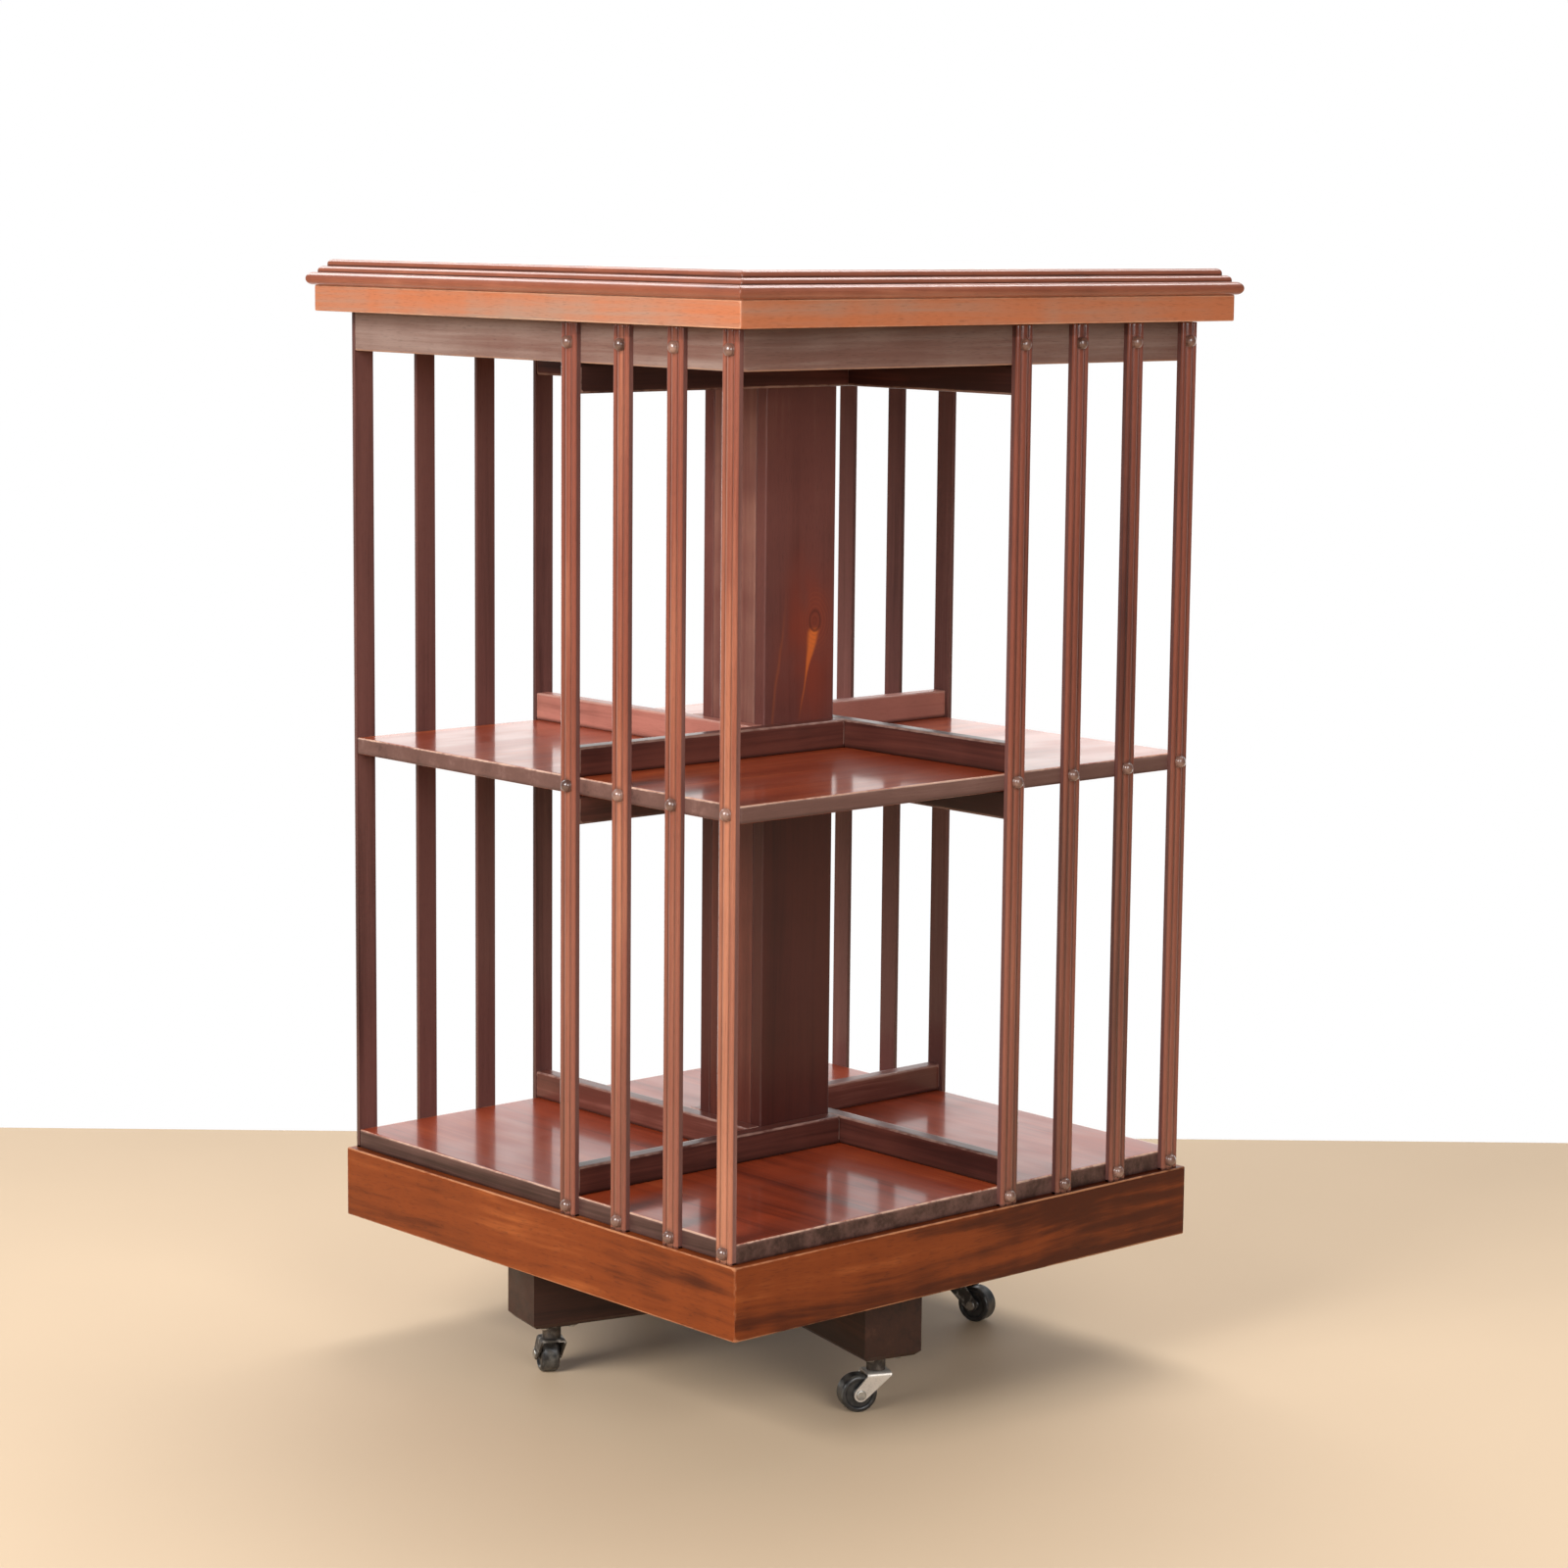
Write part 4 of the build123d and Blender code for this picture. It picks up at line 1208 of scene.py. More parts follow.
@dataclass
class Rails(CasePart):
    """Four sets of rails that stop the books, set like the vanes of a pinwheel.

    Args:
        thick: Thickness of a rail.
        arris: Radius of its edges.
        seat_band: How far the darkening climbs from a rail's seat, in radii of its edges.
        seat_darkening: How much darker the rail is along its seat.
        tones: Tone of each side's rail, before its set's share, painted light and shade: darker at the front
            and right.
    """

    thick: float = 14 * MM
    arris: float = 1.1 * MM
    seat_band: float = 2.2
    seat_darkening: float = 0.7
    tones: tuple[float, ...] = (0.33, 0.28, 1.0, 0.9)

    def build(self) -> None:
        """Makes the four sets."""
        near, far = self.case.column_half, self.case.half
        # each set's share is painted shade: the sets on the base shelf, under the middle shelf and under the
        # deck are darker
        for name, share in (
            ("rails_on_base_shelf", 0.6), ("rails_on_mid_shelf", 1.0),
            ("rails_under_mid_shelf", 0.4), ("rails_under_deck", 0.3),
        ):
            low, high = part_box(name)
            seat = high.z if "under" in name else low.z
            rails = []
            for side in Side:
                rail = block((near, -far, low.z), (near + self.thick, near, high.z), 1, self.arris)
                seated = np.abs(rail.points[:, 2] - seat) < self.seat_band * self.arris
                rail.wear[seated] = 0.0
                # the rail is darker along its seat
                rail.hollow = np.where(seated, self.seat_darkening, rail.hollow)
                rails.append(self.fitted(rail, Grain.Y, self.tones[side] * share, side))
            make_piece(name.replace("rails", "book_rails"), rails, "rail", "case", "rail_wood", name)


@dataclass
class ReededSlats(CasePart):
    """Sixteen upright slats, each with a wide reed between two narrow ones.

    Args:
        reed: Width of the middle reed.
        groove: Depth of the grooves below its crest.
        side_drop: Crest of a side reed below the middle crest.
        side_fall: How far a side reed falls away at the slat's edge.
        arris: Radius of the end edges.
        end_fade: Distance from an end to where its wear has died away.
        groove_band: Width of the dirt and painted shade beside a groove.
        crest_wear: Wear along the reeds' crests.
        edge_darkening: How much darker the slat is along its two front edges.
        stud_shade: Painted shade round a stud.
        stud_band: Width of that painted shade.
        frieze_shadow: Painted shadow of the frieze, above the top studs.
        reed_steps: Points of a side reed's arc.
        side_light_tones: Tone of each side's slats, painted light and shade.
        tone_spread: The most that one slat's tone strays.
        corner_lift: How much lighter the slat at the front corner is.
        reed_painted_light: Painted light: how much lighter the middle reed is.
        side_reed_painted_shade: Painted shade: how much lighter the side reeds are, below zero where they are
            darker.
        back_painted_light: Painted light: how much lighter the back and the sides are.
        facing: Outward part of a normal from which a face has the front's finish.
    """

    reed: float = 7.6 * MM
    groove: float = 1.6 * MM
    side_drop: float = 0.4 * MM
    side_fall: float = 2.4 * MM
    arris: float = 0.35 * MM
    end_fade: float = 1.2 * MM
    groove_band: float = 1.1 * MM
    crest_wear: float = 0.5
    edge_darkening: float = 0.45
    stud_shade: float = 0.8
    stud_band: float = 2.6 * MM
    frieze_shadow: float = 0.45
    reed_steps: int = 9
    side_light_tones: tuple[float, ...] = (0.48, 0.42, 0.45, 0.40)
    tone_spread: float = 0.07
    corner_lift: float = 0.22
    reed_painted_light: float = 0.06
    side_reed_painted_shade: float = -0.04
    back_painted_light: float = 0.02
    facing: float = 0.15

    def section(self, low: Vector, high: Vector) -> Outline:
        """The slat's section on the front side, from the left reed round to the back."""
        middle, edge, crest = (low.x + high.x) / 2, (high.x - low.x) / 2, low.y
        half_reed = self.reed / 2
        side_crest = (edge + half_reed) / 2
        seat = crest + self.groove
        groove, outer = (half_reed, seat), (edge, crest + self.side_fall)
        right = arc_through(groove, (side_crest, crest + self.side_drop), outer, self.reed_steps)
        left = right[::-1] * (-1, 1)
        centre = arc_through((-half_reed, seat), (0, crest), groove, self.reed_steps + 4)
        back = np.array([(edge, high.y), (-edge, high.y)])
        points = np.concatenate([left, centre[1:-1], right, back]) + (middle, 0)
        depth = points[:, 1] - crest
        wear = np.clip(1 - depth / (0.5 * self.groove), 0, 1) * self.crest_wear
        away = np.abs(np.abs(points[:, 0] - middle) - half_reed)
        # dirt and painted shade beside the grooves, and darker front edges
        hollow = np.clip(1 - away / self.groove_band, 0, 1) * (depth < self.side_fall)
        hollow[[0, -1 - len(back)]] = self.edge_darkening
        return Outline.drawn(points, wear, hollow)

    def stations(self) -> tuple[float, ...]:
        """Heights of the rings that the painted shade round each stud needs, from below upwards."""
        case, radius, band = self.case, self.case.stud_radius, self.stud_band
        upper = (0.4 * radius, 0.75 * radius, radius, radius + 0.4 * band, radius + band)
        steps = (*(-step for step in upper[::-1]), 0.0, *upper)
        heights = (height + step for height in case.stud_heights for step in steps)
        return tuple(height for height in heights if height < case.stud_high + band)

    def shade(self, shell: Shell, middle: float, crest: float) -> np.ndarray:
        """Painted light and shade: each point's step in tone from its slat's, by where it lies."""
        off, depth = np.abs(shell.points[:, 0] - middle), shell.points[:, 1] - crest
        front = np.where(off < self.reed / 2, self.reed_painted_light, self.side_reed_painted_shade)
        return np.where(depth < self.side_fall + 0.1 * MM, front, self.back_painted_light)

    def paint_stud_and_frieze_shade(self, shell: Shell, middle: float, crest: float) -> None:
        """Paints shade round each stud, and the frieze's shadow above the top ones.

        Round a stud it dies away evenly with the distance past the stud's radius.
        """
        x, y, z = shell.points.T
        # painted shade round each stud
        for height in self.case.stud_heights:
            past = np.hypot(x - middle, z - height) - self.case.stud_radius
            halo = np.clip(1 - past / self.stud_band, 0, 1) * (y < crest + self.side_fall)
            shell.hollow = np.maximum(shell.hollow, self.stud_shade * halo)
        # painted shadow of the frieze above the top studs
        shell.hollow[z > self.case.stud_high] += self.frieze_shadow

    def build(self) -> None:
        """Makes the sixteen slats."""
        stations = self.stations()
        for side in Side:
            outward = np.array([math.sin(QUARTER * side), -math.cos(QUARTER * side), 0.0])
            for number in NUMBERS:
                low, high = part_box(f"slat_front_{number}")
                middle, crest = (low.x + high.x) / 2, low.y
                shell = prism(self.section(low, high), low.z, high.z, self.arris, 2, stations, self.end_fade)
                self.paint_stud_and_frieze_shade(shell, middle, crest)
                lift = self.corner_lift if number == 1 and side is Side.FRONT else 0.0
                # each side's tone and the steps across the profile are painted light and shade
                tone = self.side_light_tones[side] + lift + self.stray(self.tone_spread)
                slat = self.fitted(shell, Grain.Z, tone + self.shade(shell, middle, crest), side)
                node = f"slat_{side.word}_{number}"
                make_piece(
                    f"reeded_{node}", [slat], "slat", "case", "slat_mahogany", node,
                    second="slat_back",
                    chosen=lambda normals, outward=outward: normals @ outward < self.facing,
                )


@dataclass
class Studs(CasePart):
    """Turned buttons that cover the fixings of the slats.

    Args:
        seat: Depth of a stud's seat below the middle reed.
        stand: Its crown past the middle reed.
        rim: Height of its straight rim.
        quirk: Step in from the rim to the dome.
        shank: How far its shank runs into the slat.
        tone_spread: The most that one stud's tone strays.
        around: Points in each ring.
    """

    seat: float = 1.6 * MM
    stand: float = 4.0 * MM
    rim: float = 1.5 * MM
    quirk: float = 0.45 * MM
    shank: float = 2 * MM
    tone_spread: float = 0.2
    around: int = 28

    def button(self) -> Shell:
        """One stud with its crown along Z: a straight rim with an eased edge, a quirk and a dome.

        The dome's radius at angle t is the rim's less the quirk, times cos t, and its
        height is the rim plus the rest of the stand times sin t to the power 0.9.
        """
        tall, radius = self.seat + self.stand, self.case.stud_radius
        turn = np.linspace(0, QUARTER, 10)[:-1]
        inner = radius - self.quirk
        dome = np.stack([inner * np.cos(turn), self.rim + (tall - self.rim) * np.sin(turn) ** 0.9], 1)
        base = np.array(
            [
                (0, -self.shank), (radius, -self.shank), (radius, 0), (radius, self.rim - 0.4 * MM),
                (radius - 0.15 * MM, self.rim - 0.1 * MM), (inner, self.rim - 0.12 * MM),
            ]
        )
        profile = np.concatenate([base, dome, [(0, tall)]])
        # painted shade at the stud's foot, where it meets the slat
        hollow = 0.5 * np.clip(1 - profile[:, 1] / (1.2 * MM), 0, 1)
        wear = np.clip((profile[:, 1] - 0.8 * tall) / (0.2 * tall), 0, 1) * 0.7
        return lathe(profile, wear, hollow, self.around)

    def build(self) -> None:
        """Makes all the studs as one piece."""
        button = self.button()
        shells = []
        for side in Side:
            for number in NUMBERS:
                low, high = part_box(f"slat_front_{number}")
                for height in self.case.stud_heights:
                    seat = np.array([(low.x + high.x) / 2, low.y + self.seat, height])
                    stud = button.cut_from(Grain.Z, self.rng)
                    stud = stud.toned(MIDDLE_TONE + self.stray(self.tone_spread))
                    stud = laid(stud.turned(self.rng.uniform(0, math.pi)), seat, np.array([0, -1.0, 0]))
                    shells.append(stud.on_side(side))
        make_piece("turned_studs", shells, "stud", "case", "stud_wood", "slat_studs")


@dataclass
class Cornice(CasePart):
    """Aprons, the frieze above them and the moulded top.

    Args:
        apron_thick: Thickness of the apron boards.
        bead: Radius of the top's lowest bead.
        middle_round: Radius of the middle step.
        middle_setback: Its nose behind the bead's.
        upper_round: Radius of the top step.
        upper_setback: Its nose behind the bead's.
        quirk: Height of the small upright below the top step.
        border: Width of the mitred border round the top's panel.
        joint: Hairline between the panel and its border.
        arris: Radius of the aprons' and the frieze's edges.
        corner: Radius of their upright corners.
        apron_light_tones: Tone of each side's apron, painted light and shade.
        apron_shade: Painted shadow of the frieze: how dark each side's apron grows towards its top.
        frieze_light_tones: Tone of each side's frieze, painted light and shade.
    """

    apron_thick: float = 14 * MM
    bead: float = 5.2 * MM
    middle_round: float = 3.8 * MM
    middle_setback: float = 7.1 * MM
    upper_round: float = 3.6 * MM
    upper_setback: float = 12.7 * MM
    quirk: float = 1.8 * MM
    border: float = 46 * MM
    joint: float = 0.1 * MM
    arris: float = 0.9 * MM
    corner: float = 1.1 * MM
    apron_light_tones: tuple[float, ...] = (0.76, 0.62, 0.5, 0.5)
    apron_shade: tuple[float, ...] = (0.25, 1.0, 0.6, 0.6)
    frieze_light_tones: tuple[float, ...] = (0.74, 0.55, 0.5, 0.5)

    def moulding(self) -> Outline:
        """The top's edge from its underside, round the bead and up over both steps.

        Each part is a run of points with its wear and its darkening: the rounds carry wear and painted
        highlight, and the nooks between them dirt and painted shade.
        """
        case = self.case
        nose, low, high = case.bead_half, case.frieze_high, case.top_high
        middle, upper = nose - self.middle_setback, nose - self.upper_setback
        bead_top = low + 2 * self.bead
        tread = high - self.upper_round - self.quirk
        swing = np.linspace(-QUARTER, QUARTER, 11)
        bead_x = nose - self.bead + self.bead * np.cos(swing)
        bead = np.stack([bead_x, low + self.bead + self.bead * np.sin(swing)], 1)
        turn = np.linspace(0, QUARTER, 7)
        arc = np.stack([np.cos(turn), np.sin(turn)], 1)
        step = np.array([middle - self.middle_round, tread - self.middle_round]) + self.middle_round * arc
        crown = np.array([upper - self.upper_round, high - self.upper_round]) + self.upper_round * arc
        inner = nose - self.border
        under, land, nook = nose - self.bead - 4 * MM, upper - self.upper_round - 3 * MM, 0.5 * MM
        parts = (
            ([(inner, low), (under, low)], 0.0, 0.0),
            (bead, 0.45, 0.0),
            ([(middle + nook, bead_top), (middle, bead_top), (middle, bead_top + nook)], 0.0, 1.0),
            (step, 0.5, 0.0),
            ([(upper + nook, tread), (upper, tread), (upper, tread + nook)], 0.0, 1.0),
            (crown, 0.55, 0.0),
            ([(land, high), (inner, high)], 0.0, 0.0),
        )
        return Outline.drawn(
            np.concatenate([np.array(p) for p, _, _ in parts]),
            np.concatenate([np.full(len(p), w) for p, w, _ in parts]),
            np.concatenate([np.full(len(p), h) for p, _, h in parts]),
        )

    def top(self) -> None:
        """The moulded top: a flat panel inside four mitred lengths of moulding."""
        low, high = self.case.frieze_high, self.case.top_high
        inner = self.case.bead_half - self.border - self.joint
        panel = block((-inner, -inner, low), (inner, inner, high), 2, 0.25 * MM, 0.4 * MM)
        panel.wear[:] = 0.0
        shells = [panel.cut_from(Grain.X, self.rng).toned(0.52)]
        for side in Side:
            edge = mitred_length(self.moulding(), self.arris).cut_from(Grain.X, self.rng)
            shells.append(edge.toned(MIDDLE_TONE + self.stray(0.06)).on_side(side))
        make_piece("moulded_top", shells, "top", "case", "top_mahogany", "top_board")

    def build(self) -> None:
        """Makes the aprons, the frieze and the top."""
        case = self.case
        apron_low = (case.half - self.apron_thick, case.deck_low)
        apron = eased(rectangle(apron_low, (case.half, case.frieze_high)), self.arris)
        frieze_low = (case.half, case.frieze_low)
        frieze = eased(rectangle(frieze_low, (case.frieze_half, case.frieze_high)), self.arris)
        for name, section, finish, slot, node, tones in (
            ("aprons", apron, "apron", "apron_mahogany", "apron_boards", self.apron_light_tones),
            ("frieze", frieze, "frieze", "frieze_mahogany", "frieze_mouldings", self.frieze_light_tones),
        ):
            boards = []
            for side in Side:
                board = mitred_length(section, self.corner)
                if name == "aprons":
                    rise = (board.points[:, 2] - apron_low[1]) / (case.frieze_high - apron_low[1])
                    # painted shadow of the frieze, darker towards the apron's top
                    board.hollow = np.clip(rise * self.apron_shade[side], 0, 1)
                # each side's tone is painted light and shade
                boards.append(self.fitted(board, Grain.X, tones[side], side))
            make_piece(name, boards, finish, "case", slot, node)
        self.top()


# ------------------------------------------------------------------------ the castors
@dataclass
class Castors:
    """Pressed forks and black wheels under the ends of the foot.

    Args:
        strap: Thickness of the fork's metal.
        cheek: Distance from the wheel's middle plane to a cheek's outer face.
        crown: Length of the fork's crown.
        lobe: Radius of a cheek round the axle.
        bend: Radius of the bends between crown and cheeks.
        wheel_width: Width of a wheel.
        tread_round: Radius of the tread's edges.
        dish: Radius of the dished side of a wheel.
        dish_depth: Its depth.
        hub: Radius of the hub.
        lip: Easing of the dish's and the hub's edges.
        tread_crown: How much the tread swells in its middle.
        scuffed: How far in from the tread's crest its scuffs reach.
        lobe_steps: Points round a cheek's lobe.
        cheek_steps: Rings up a cheek.
        crowding: How strongly those rings crowd towards the lobe, 1 for evenly.
        bend_steps: Rings round a bend.
        width_steps: Points across the strap.
        around: Points in each ring of a wheel.
        tones: How clean each fork's plating is.
    """

    strap: float = 1.8 * MM
    cheek: float = 10.5 * MM
    crown: float = 20 * MM
    lobe: float = 5.5 * MM
    bend: float = 2.6 * MM
    wheel_width: float = 15 * MM
    tread_round: float = 2.6 * MM
    dish: float = 11 * MM
    dish_depth: float = 1.4 * MM
    hub: float = 5 * MM
    lip: float = 0.5 * MM
    tread_crown: float = 0.1 * MM
    scuffed: float = 1.4 * MM
    lobe_steps: int = 8
    cheek_steps: int = 15
    crowding: float = 1.6
    bend_steps: int = 5
    width_steps: int = 7
    around: int = 56
    tones: tuple[float, ...] = (0.97, 0.18, 0.3, 0.1)

    def cheek_side(self, sign: int, trail: float, axle: float, top: float) -> np.ndarray:
        """One side of a cheek, from the lobe round the axle up to the crown.

        It is the straight tangent from the crown's end to the lobe, and the lobe's circle
        from there down to its lowest point.

        Args:
            sign: -1 for the side under the kingpin, 1 for the side past the axle.
            trail: Distance from the kingpin to the axle.
            axle: Height of the axle.
            top: Height of the crown's upper face.

        Returns:
            An (n, 2) array of distance from the kingpin and height, upwards.
        """
        start = np.array([sign * self.crown / 2, top - self.bend])
        away = start - (trail, axle)
        lean = math.atan2(away[1], away[0]) - sign * math.acos(self.lobe / np.hypot(*away))
        foot = -QUARTER if sign > 0 else lean + (-QUARTER - lean) % (2 * math.pi)
        swing = np.linspace(lean, foot, self.lobe_steps)
        lobe = np.stack([trail + self.lobe * np.cos(swing), axle + self.lobe * np.sin(swing)], 1)
        return np.concatenate([[start], lobe])[::-1]

    def fork(self, trail: float, axle: float, top: float) -> Shell:
        """A pressed fork with its kingpin on Z and its wheel trailing along +X.

        The strap runs up one cheek, round a bend to the middle of the crown, and the other
        half is its mirror image. At each height it reaches from one side of the cheek to
        the other. Its two skins lie half its thickness either way along its normal.

        Args:
            trail: Distance from the kingpin to the axle.
            axle: Height of the axle.
            top: Height of the crown's upper face.
        """
        up = np.linspace(0, 1, self.cheek_steps) ** self.crowding
        straight = axle - self.lobe + up * (top - self.bend - axle + self.lobe)
        turn = np.linspace(0, QUARTER, self.bend_steps)[1:]
        middle, radius = self.cheek - self.strap / 2, self.bend - self.strap / 2
        across = np.r_[np.full(len(straight), middle), middle - radius * (1 - np.cos(turn)), 0.0]
        height = np.r_[straight, top - self.bend + radius * np.sin(turn), top - self.strap / 2]
        normal_across = np.r_[np.ones(len(straight)), np.cos(turn), 0.0]
        normal_up = np.r_[np.zeros(len(straight)), np.sin(turn), 1.0]
        chains = (self.cheek_side(sign, trail, axle, top) for sign in (-1, 1))
        left, right = (np.interp(height, chain[:, 1], chain[:, 0]) for chain in chains)

        def whole(half: np.ndarray, sign: int = 1) -> np.ndarray:
            """Both halves of the strap from one, less the crown's middle the second time."""
            return np.r_[half, sign * half[-2::-1]]

        left, right = whole(left), whole(right)
        count = self.width_steps
        along = left[:, None] + (right - left)[:, None] * np.linspace(0, 1, count)
        skin = np.r_[np.ones(count), -np.ones(count)] * self.strap / 2
        x = np.concatenate([along, along[:, ::-1]], 1)
        y = whole(across, -1)[:, None] + whole(normal_across, -1)[:, None] * skin
        z = whole(height)[:, None] + whole(normal_up)[:, None] * skin
        points = np.stack([x, y, z], -1)
        rings, around = points.shape[:2]
        wear = np.zeros((rings, around))
        wear[:, [0, count - 1, count, -1]] = 1.0
        faces = ring_faces(rings, around, outside_in=True)
        faces.append(tuple(range(around)))
        faces.append(tuple(range((rings - 1) * around, rings * around))[::-1])
        return Shell(points.reshape(-1, 3), faces, wear.ravel(), np.zeros(rings * around))

    def wheel(self, radius: float) -> Shell:
        """A wheel about Z, its sides dished round a hub and its tread's edges rounded."""
        half = self.wheel_width / 2
        turn = np.linspace(0, QUARTER, 7)
        corner = self.tread_round
        shoulder_x = radius - corner + corner * np.sin(turn)
        shoulder = np.stack([shoulder_x, half - corner + corner * np.cos(turn)], 1)
        sunk, lip = half - self.dish_depth, self.lip
        face = np.array(
            [
                (0, half), (self.hub - lip, half), (self.hub, half - lip), (self.hub + lip, sunk),
                (self.dish - lip, sunk), (self.dish, half - lip), (self.dish + lip, half),
            ]
        )
        crown = np.array([(radius - self.tread_crown, half - 1.6 * corner), (radius, 0.0)])
        upper = np.concatenate([face, shoulder, crown])
        lower = upper[-2::-1] * (1, -1)
        profile = np.concatenate([upper, lower])[::-1]
        wear = np.clip((profile[:, 0] - (radius - self.scuffed)) / (1.2 * MM), 0, 1)
        hollow = (np.abs(profile[:, 1]) <= sunk + 0.1 * MM) * (profile[:, 0] < self.dish) * 1.0
        return lathe(profile, wear, hollow, self.around)

    def build(self) -> None:
        """Makes the four castors where the frame's joints say."""
        joints = {joint["name"]: joint for joint in frame["joints"]}
        wheel_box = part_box("castor_wheel_1")
        radius = (wheel_box[1].z - wheel_box[0].z) / 2
        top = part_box("castor_fork_1")[1].z
        for number in NUMBERS:
            castor = f"castor_{number}"
            pin = np.array(joints[f"{castor}_turn"]["pos_m"])
            hub = np.array(joints[f"{castor}_roll"]["pos_m"])
            roll = np.array(joints[f"{castor}_roll"]["axis"])
            way = hub[:2] - pin[:2]
            fork = self.fork(float(np.hypot(*way)), float(hub[2]), top).toned(self.tones[number - 1])
            fork = fork.turned(math.atan2(way[1], way[0])).moved(pin[0], pin[1], 0.0)
            wheel = laid(self.wheel(radius), hub, roll)
            make_piece(
                f"pressed_fork_{number}", [fork], "fork", f"{castor}_swivel", "castor_zinc",
                f"castor_fork_{number}",
            )
            make_piece(
                f"dished_wheel_{number}", [wheel], "wheel", f"{castor}_wheel", "wheel_black",
                f"castor_wheel_{number}",
            )
            dress(f"castor_axle_{number}", "screw")


def dress_inner_nodes() -> None:
    """Gives the nodes that stay as the frame made them their finishes."""
    for node, finish in (
        ("foot_arm_upper", "foot_upper"), ("foot_arm_lower", "foot_lower"), ("spindle", "spindle"),
        ("spindle_flange", "iron"), ("flange_screws", "screw"), ("castor_plates", "plate"),
        ("castor_kingpins", "screw"), ("castor_balls", "spindle"), ("castor_screws", "screw"),
        ("glue_blocks", "carcass"), ("deck_panel", "carcass"), ("guide_bush", "brass"),
        ("pivot_block", "carcass"), ("pivot_cup", "brass"), ("bearing_screws", "screw"),
    ):
        dress(node, finish)


# ------------------------------------------------------------------------ the studio
@dataclass(frozen=True)
class SoftBox:
    """A square lamp that is turned to the middle of the case.

    Args:
        name: Its name.
        azimuth: Degrees from the front side round to it.
        height: Its height.
        reach: Its distance from the Z axis.
        size: Length of its sides.
        power: Its power in watts.
        highlight: True where it only shows as a highlight in the polish.
    """

    name: str
    azimuth: float
    height: float
    reach: float
    size: float
    power: float
    highlight: bool = False

    def hang(self, aim_height: float) -> None:
        """Hangs the lamp, turned to a height on the Z axis."""
        a = math.radians(self.azimuth)
        lamp = bpy.data.lights.new(self.name, "AREA")
        lamp.shape = "SQUARE"
        lamp.size = self.size
        lamp.energy = self.power
        light = bpy.data.objects.new(self.name, lamp)
        light.visible_diffuse = not self.highlight
        light.location = (math.sin(a) * self.reach, -math.cos(a) * self.reach, self.height)
        aim = Vector((0, 0, aim_height)) - light.location
        light.rotation_euler = aim.to_track_quat("-Z", "Y").to_euler()
        bpy.context.scene.collection.objects.link(light)


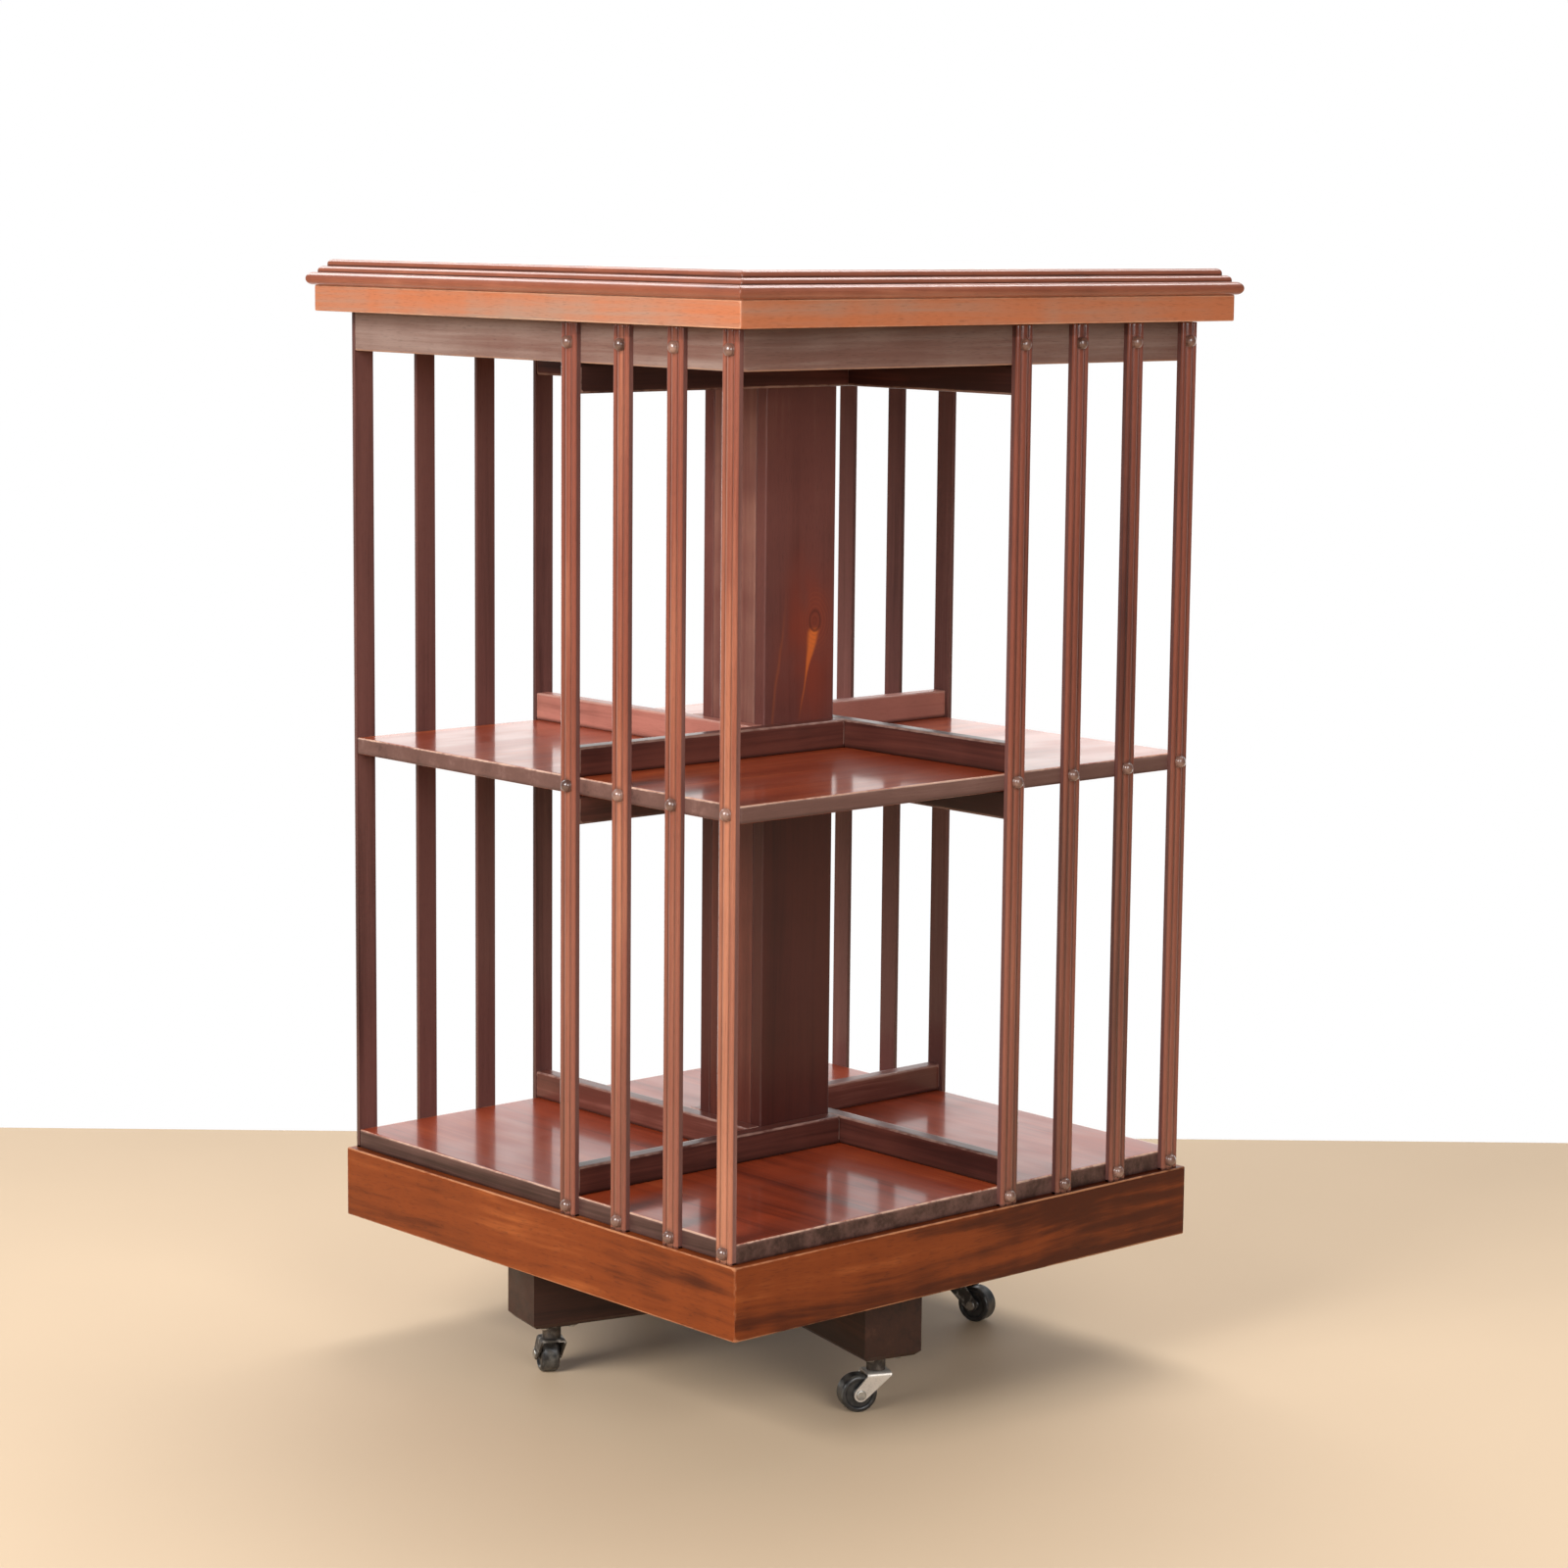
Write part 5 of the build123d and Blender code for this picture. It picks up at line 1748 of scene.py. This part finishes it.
@dataclass
class Studio:
    """A pale floor that ends at a white backdrop, soft lights and the camera.

    Args:
        azimuth: Degrees from the front side round to the camera.
        pitch: Degrees that the camera looks down.
        roll: Degrees that it is tipped about its view.
        distance: Camera to the Z axis along its view.
        aside: How far its view passes to the right of the Z axis.
        aim_height: Height on the Z axis that it looks at.
        lens: Focal length in millimetres on a 36 mm sensor.
        floor_back: Floor's far edge, behind the Z axis.
        floor_front: Its near edge, in front of that axis.
        floor_side: Half its width.
        front_light: Light of the backdrop on the camera's side.
        back_light: Its light behind the case.
        glint_light: What the polish mirrors of it there, near the horizon.
        front_ground: Light from below the horizon on the camera's side.
        back_ground: Light from there behind the case, where it isn't mirrored.
        lamp_aim: Height on the Z axis that the lamps are turned to.
        boxes: The lamps.
    """

    azimuth: float = 48.1145
    pitch: float = 8.3441
    roll: float = 0.5651
    distance: float = 3.16407
    aside: float = 0.013653
    aim_height: float = 0.471106
    lens: float = 89.412
    floor_back: float = 0.745
    floor_front: float = 5.0
    floor_side: float = 4.0
    front_light: Colour = (0.15, 0.15, 0.16)
    back_light: Colour = (1.15, 1.15, 1.15)
    glint_light: Colour = (2.0, 1.93, 1.86)
    front_ground: Colour = (0.20, 0.16, 0.12)
    back_ground: Colour = (0.80, 0.74, 0.66)
    lamp_aim: float = 0.5
    boxes: tuple[SoftBox, ...] = (
        SoftBox("key_box", 8.0, 1.9, 3.2, 1.7, 150.0),
        SoftBox("fill_box", 72.0, 1.7, 3.6, 2.0, 85.0),
        SoftBox("top_box", 215.0, 3.0, 1.0, 1.6, 70.0),
        SoftBox("left_glint", 275.0, 3.2, 3.0, 1.6, 48.0, highlight=True),
        SoftBox("back_glint", 170.0, 3.75, 2.8, 1.1, 44.0, highlight=True),
    )

    def camera(self) -> None:
        """Sets the camera on its view of the front corner."""
        a, e, r = (math.radians(x) for x in (self.azimuth, self.pitch, self.roll))
        back = Vector((math.sin(a) * math.cos(e), -math.cos(a) * math.cos(e), math.sin(e)))
        right = (-back).cross(Vector((0, 0, 1))).normalized()
        up = right.cross(-back)
        across = right * math.cos(r) + up * math.sin(r)
        upright = up * math.cos(r) - right * math.sin(r)
        lens = bpy.data.cameras.new("studio_camera")
        lens.lens = self.lens
        lens.sensor_width = 36.0
        lens.clip_start, lens.clip_end = 0.1, 50.0
        camera = bpy.data.objects.new("studio_camera", lens)
        bpy.context.scene.collection.objects.link(camera)
        turn = Matrix((across, upright, back)).transposed().to_4x4()
        place = Vector((0, 0, self.aim_height)) + right * self.aside + back * self.distance
        camera.matrix_world = Matrix.Translation(place) @ turn
        bpy.context.scene.camera = camera

    def floor(self) -> None:
        """Lays the floor square to the camera's view."""
        a = math.radians(self.azimuth)
        toward = np.array([math.sin(a), -math.cos(a)])
        side = np.array([math.cos(a), math.sin(a)])
        corners = [
            toward * depth + side * reach
            for depth, reach in (
                (-self.floor_back, -self.floor_side), (self.floor_front, -self.floor_side),
                (self.floor_front, self.floor_side), (-self.floor_back, self.floor_side),
            )
        ]
        mesh = bpy.data.meshes.new("floor")
        mesh.from_pydata([(x, y, 0.0) for x, y in corners], [], [(0, 1, 2, 3)])
        mesh.materials.append(finished("floor"))
        floor = bpy.data.objects.new("floor", mesh)
        bpy.context.scene.collection.objects.link(floor)

    def sky(self) -> None:
        """A white backdrop to the eye, dimmer as a light, and darker below the horizon.

        Its far side fades in where the direction's part away from the camera is 0.4 to 0.85.
        The glint ends where its upward part is 0.14 to 0.21, and the ground at -0.15 to 0.02.
        """
        world = bpy.data.worlds.new("white_studio")
        bpy.context.scene.world = world
        world.use_nodes = True
        world.node_tree.nodes.clear()
        on = Bench(world.node_tree)
        a = math.radians(self.azimuth)
        way = on.add("ShaderNodeTexCoord").outputs["Generated"]
        height = on.add("ShaderNodeSeparateXYZ", {"Vector": way}).outputs["Z"]
        behind = (-math.sin(a), math.cos(a), 0.0)
        depth = on.vector("DOT_PRODUCT", way, behind)["Value"]
        back = on.ramp(depth, 0.4, 0.85)
        lit = on.mix(back, self.front_light, self.back_light)
        ray = on.add("ShaderNodeLightPath").outputs
        seen, mirrored = ray["Is Camera Ray"], ray["Is Glossy Ray"]
        glint = on.times(on.times(mirrored, back), on.ramp(height, 0.14, 0.21, 1.0, 0.0))
        lit = on.mix(glint, lit, self.glint_light)
        lower = on.mix(back, self.front_ground, on.mix(mirrored, self.back_ground, self.glint_light))
        lit = on.mix(on.ramp(height, -0.15, 0.02), lower, lit)
        shown = on.add("ShaderNodeBackground", {"Color": on.mix(seen, lit, (1.0, 1.0, 1.0)), "Strength": 1.0})
        on.add("ShaderNodeOutputWorld", {"Surface": shown.outputs[0]})

    def build(self) -> None:
        """Sets up the whole studio."""
        bpy.context.scene.view_settings.view_transform = "Standard"
        self.camera()
        self.floor()
        self.sky()
        for box in self.boxes:
            box.hang(self.lamp_aim)


def main() -> None:
    """Builds every sub-assembly in order."""
    logging.basicConfig(level=logging.INFO, format="%(name)s %(message)s")
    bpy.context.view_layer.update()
    rng = np.random.default_rng(SEED)
    case = CaseSizes.read()
    for assembly in (
        Studio(), Plinth(case, rng), Shelves(case, rng), Column(case, rng), Rails(case, rng),
        ReededSlats(case, rng), Studs(case, rng), Cornice(case, rng), Castors(),
    ):
        assembly.build()
        log.info("%s is done", type(assembly).__name__)
    dress_inner_nodes()


if __name__ == "__main__":
    main()
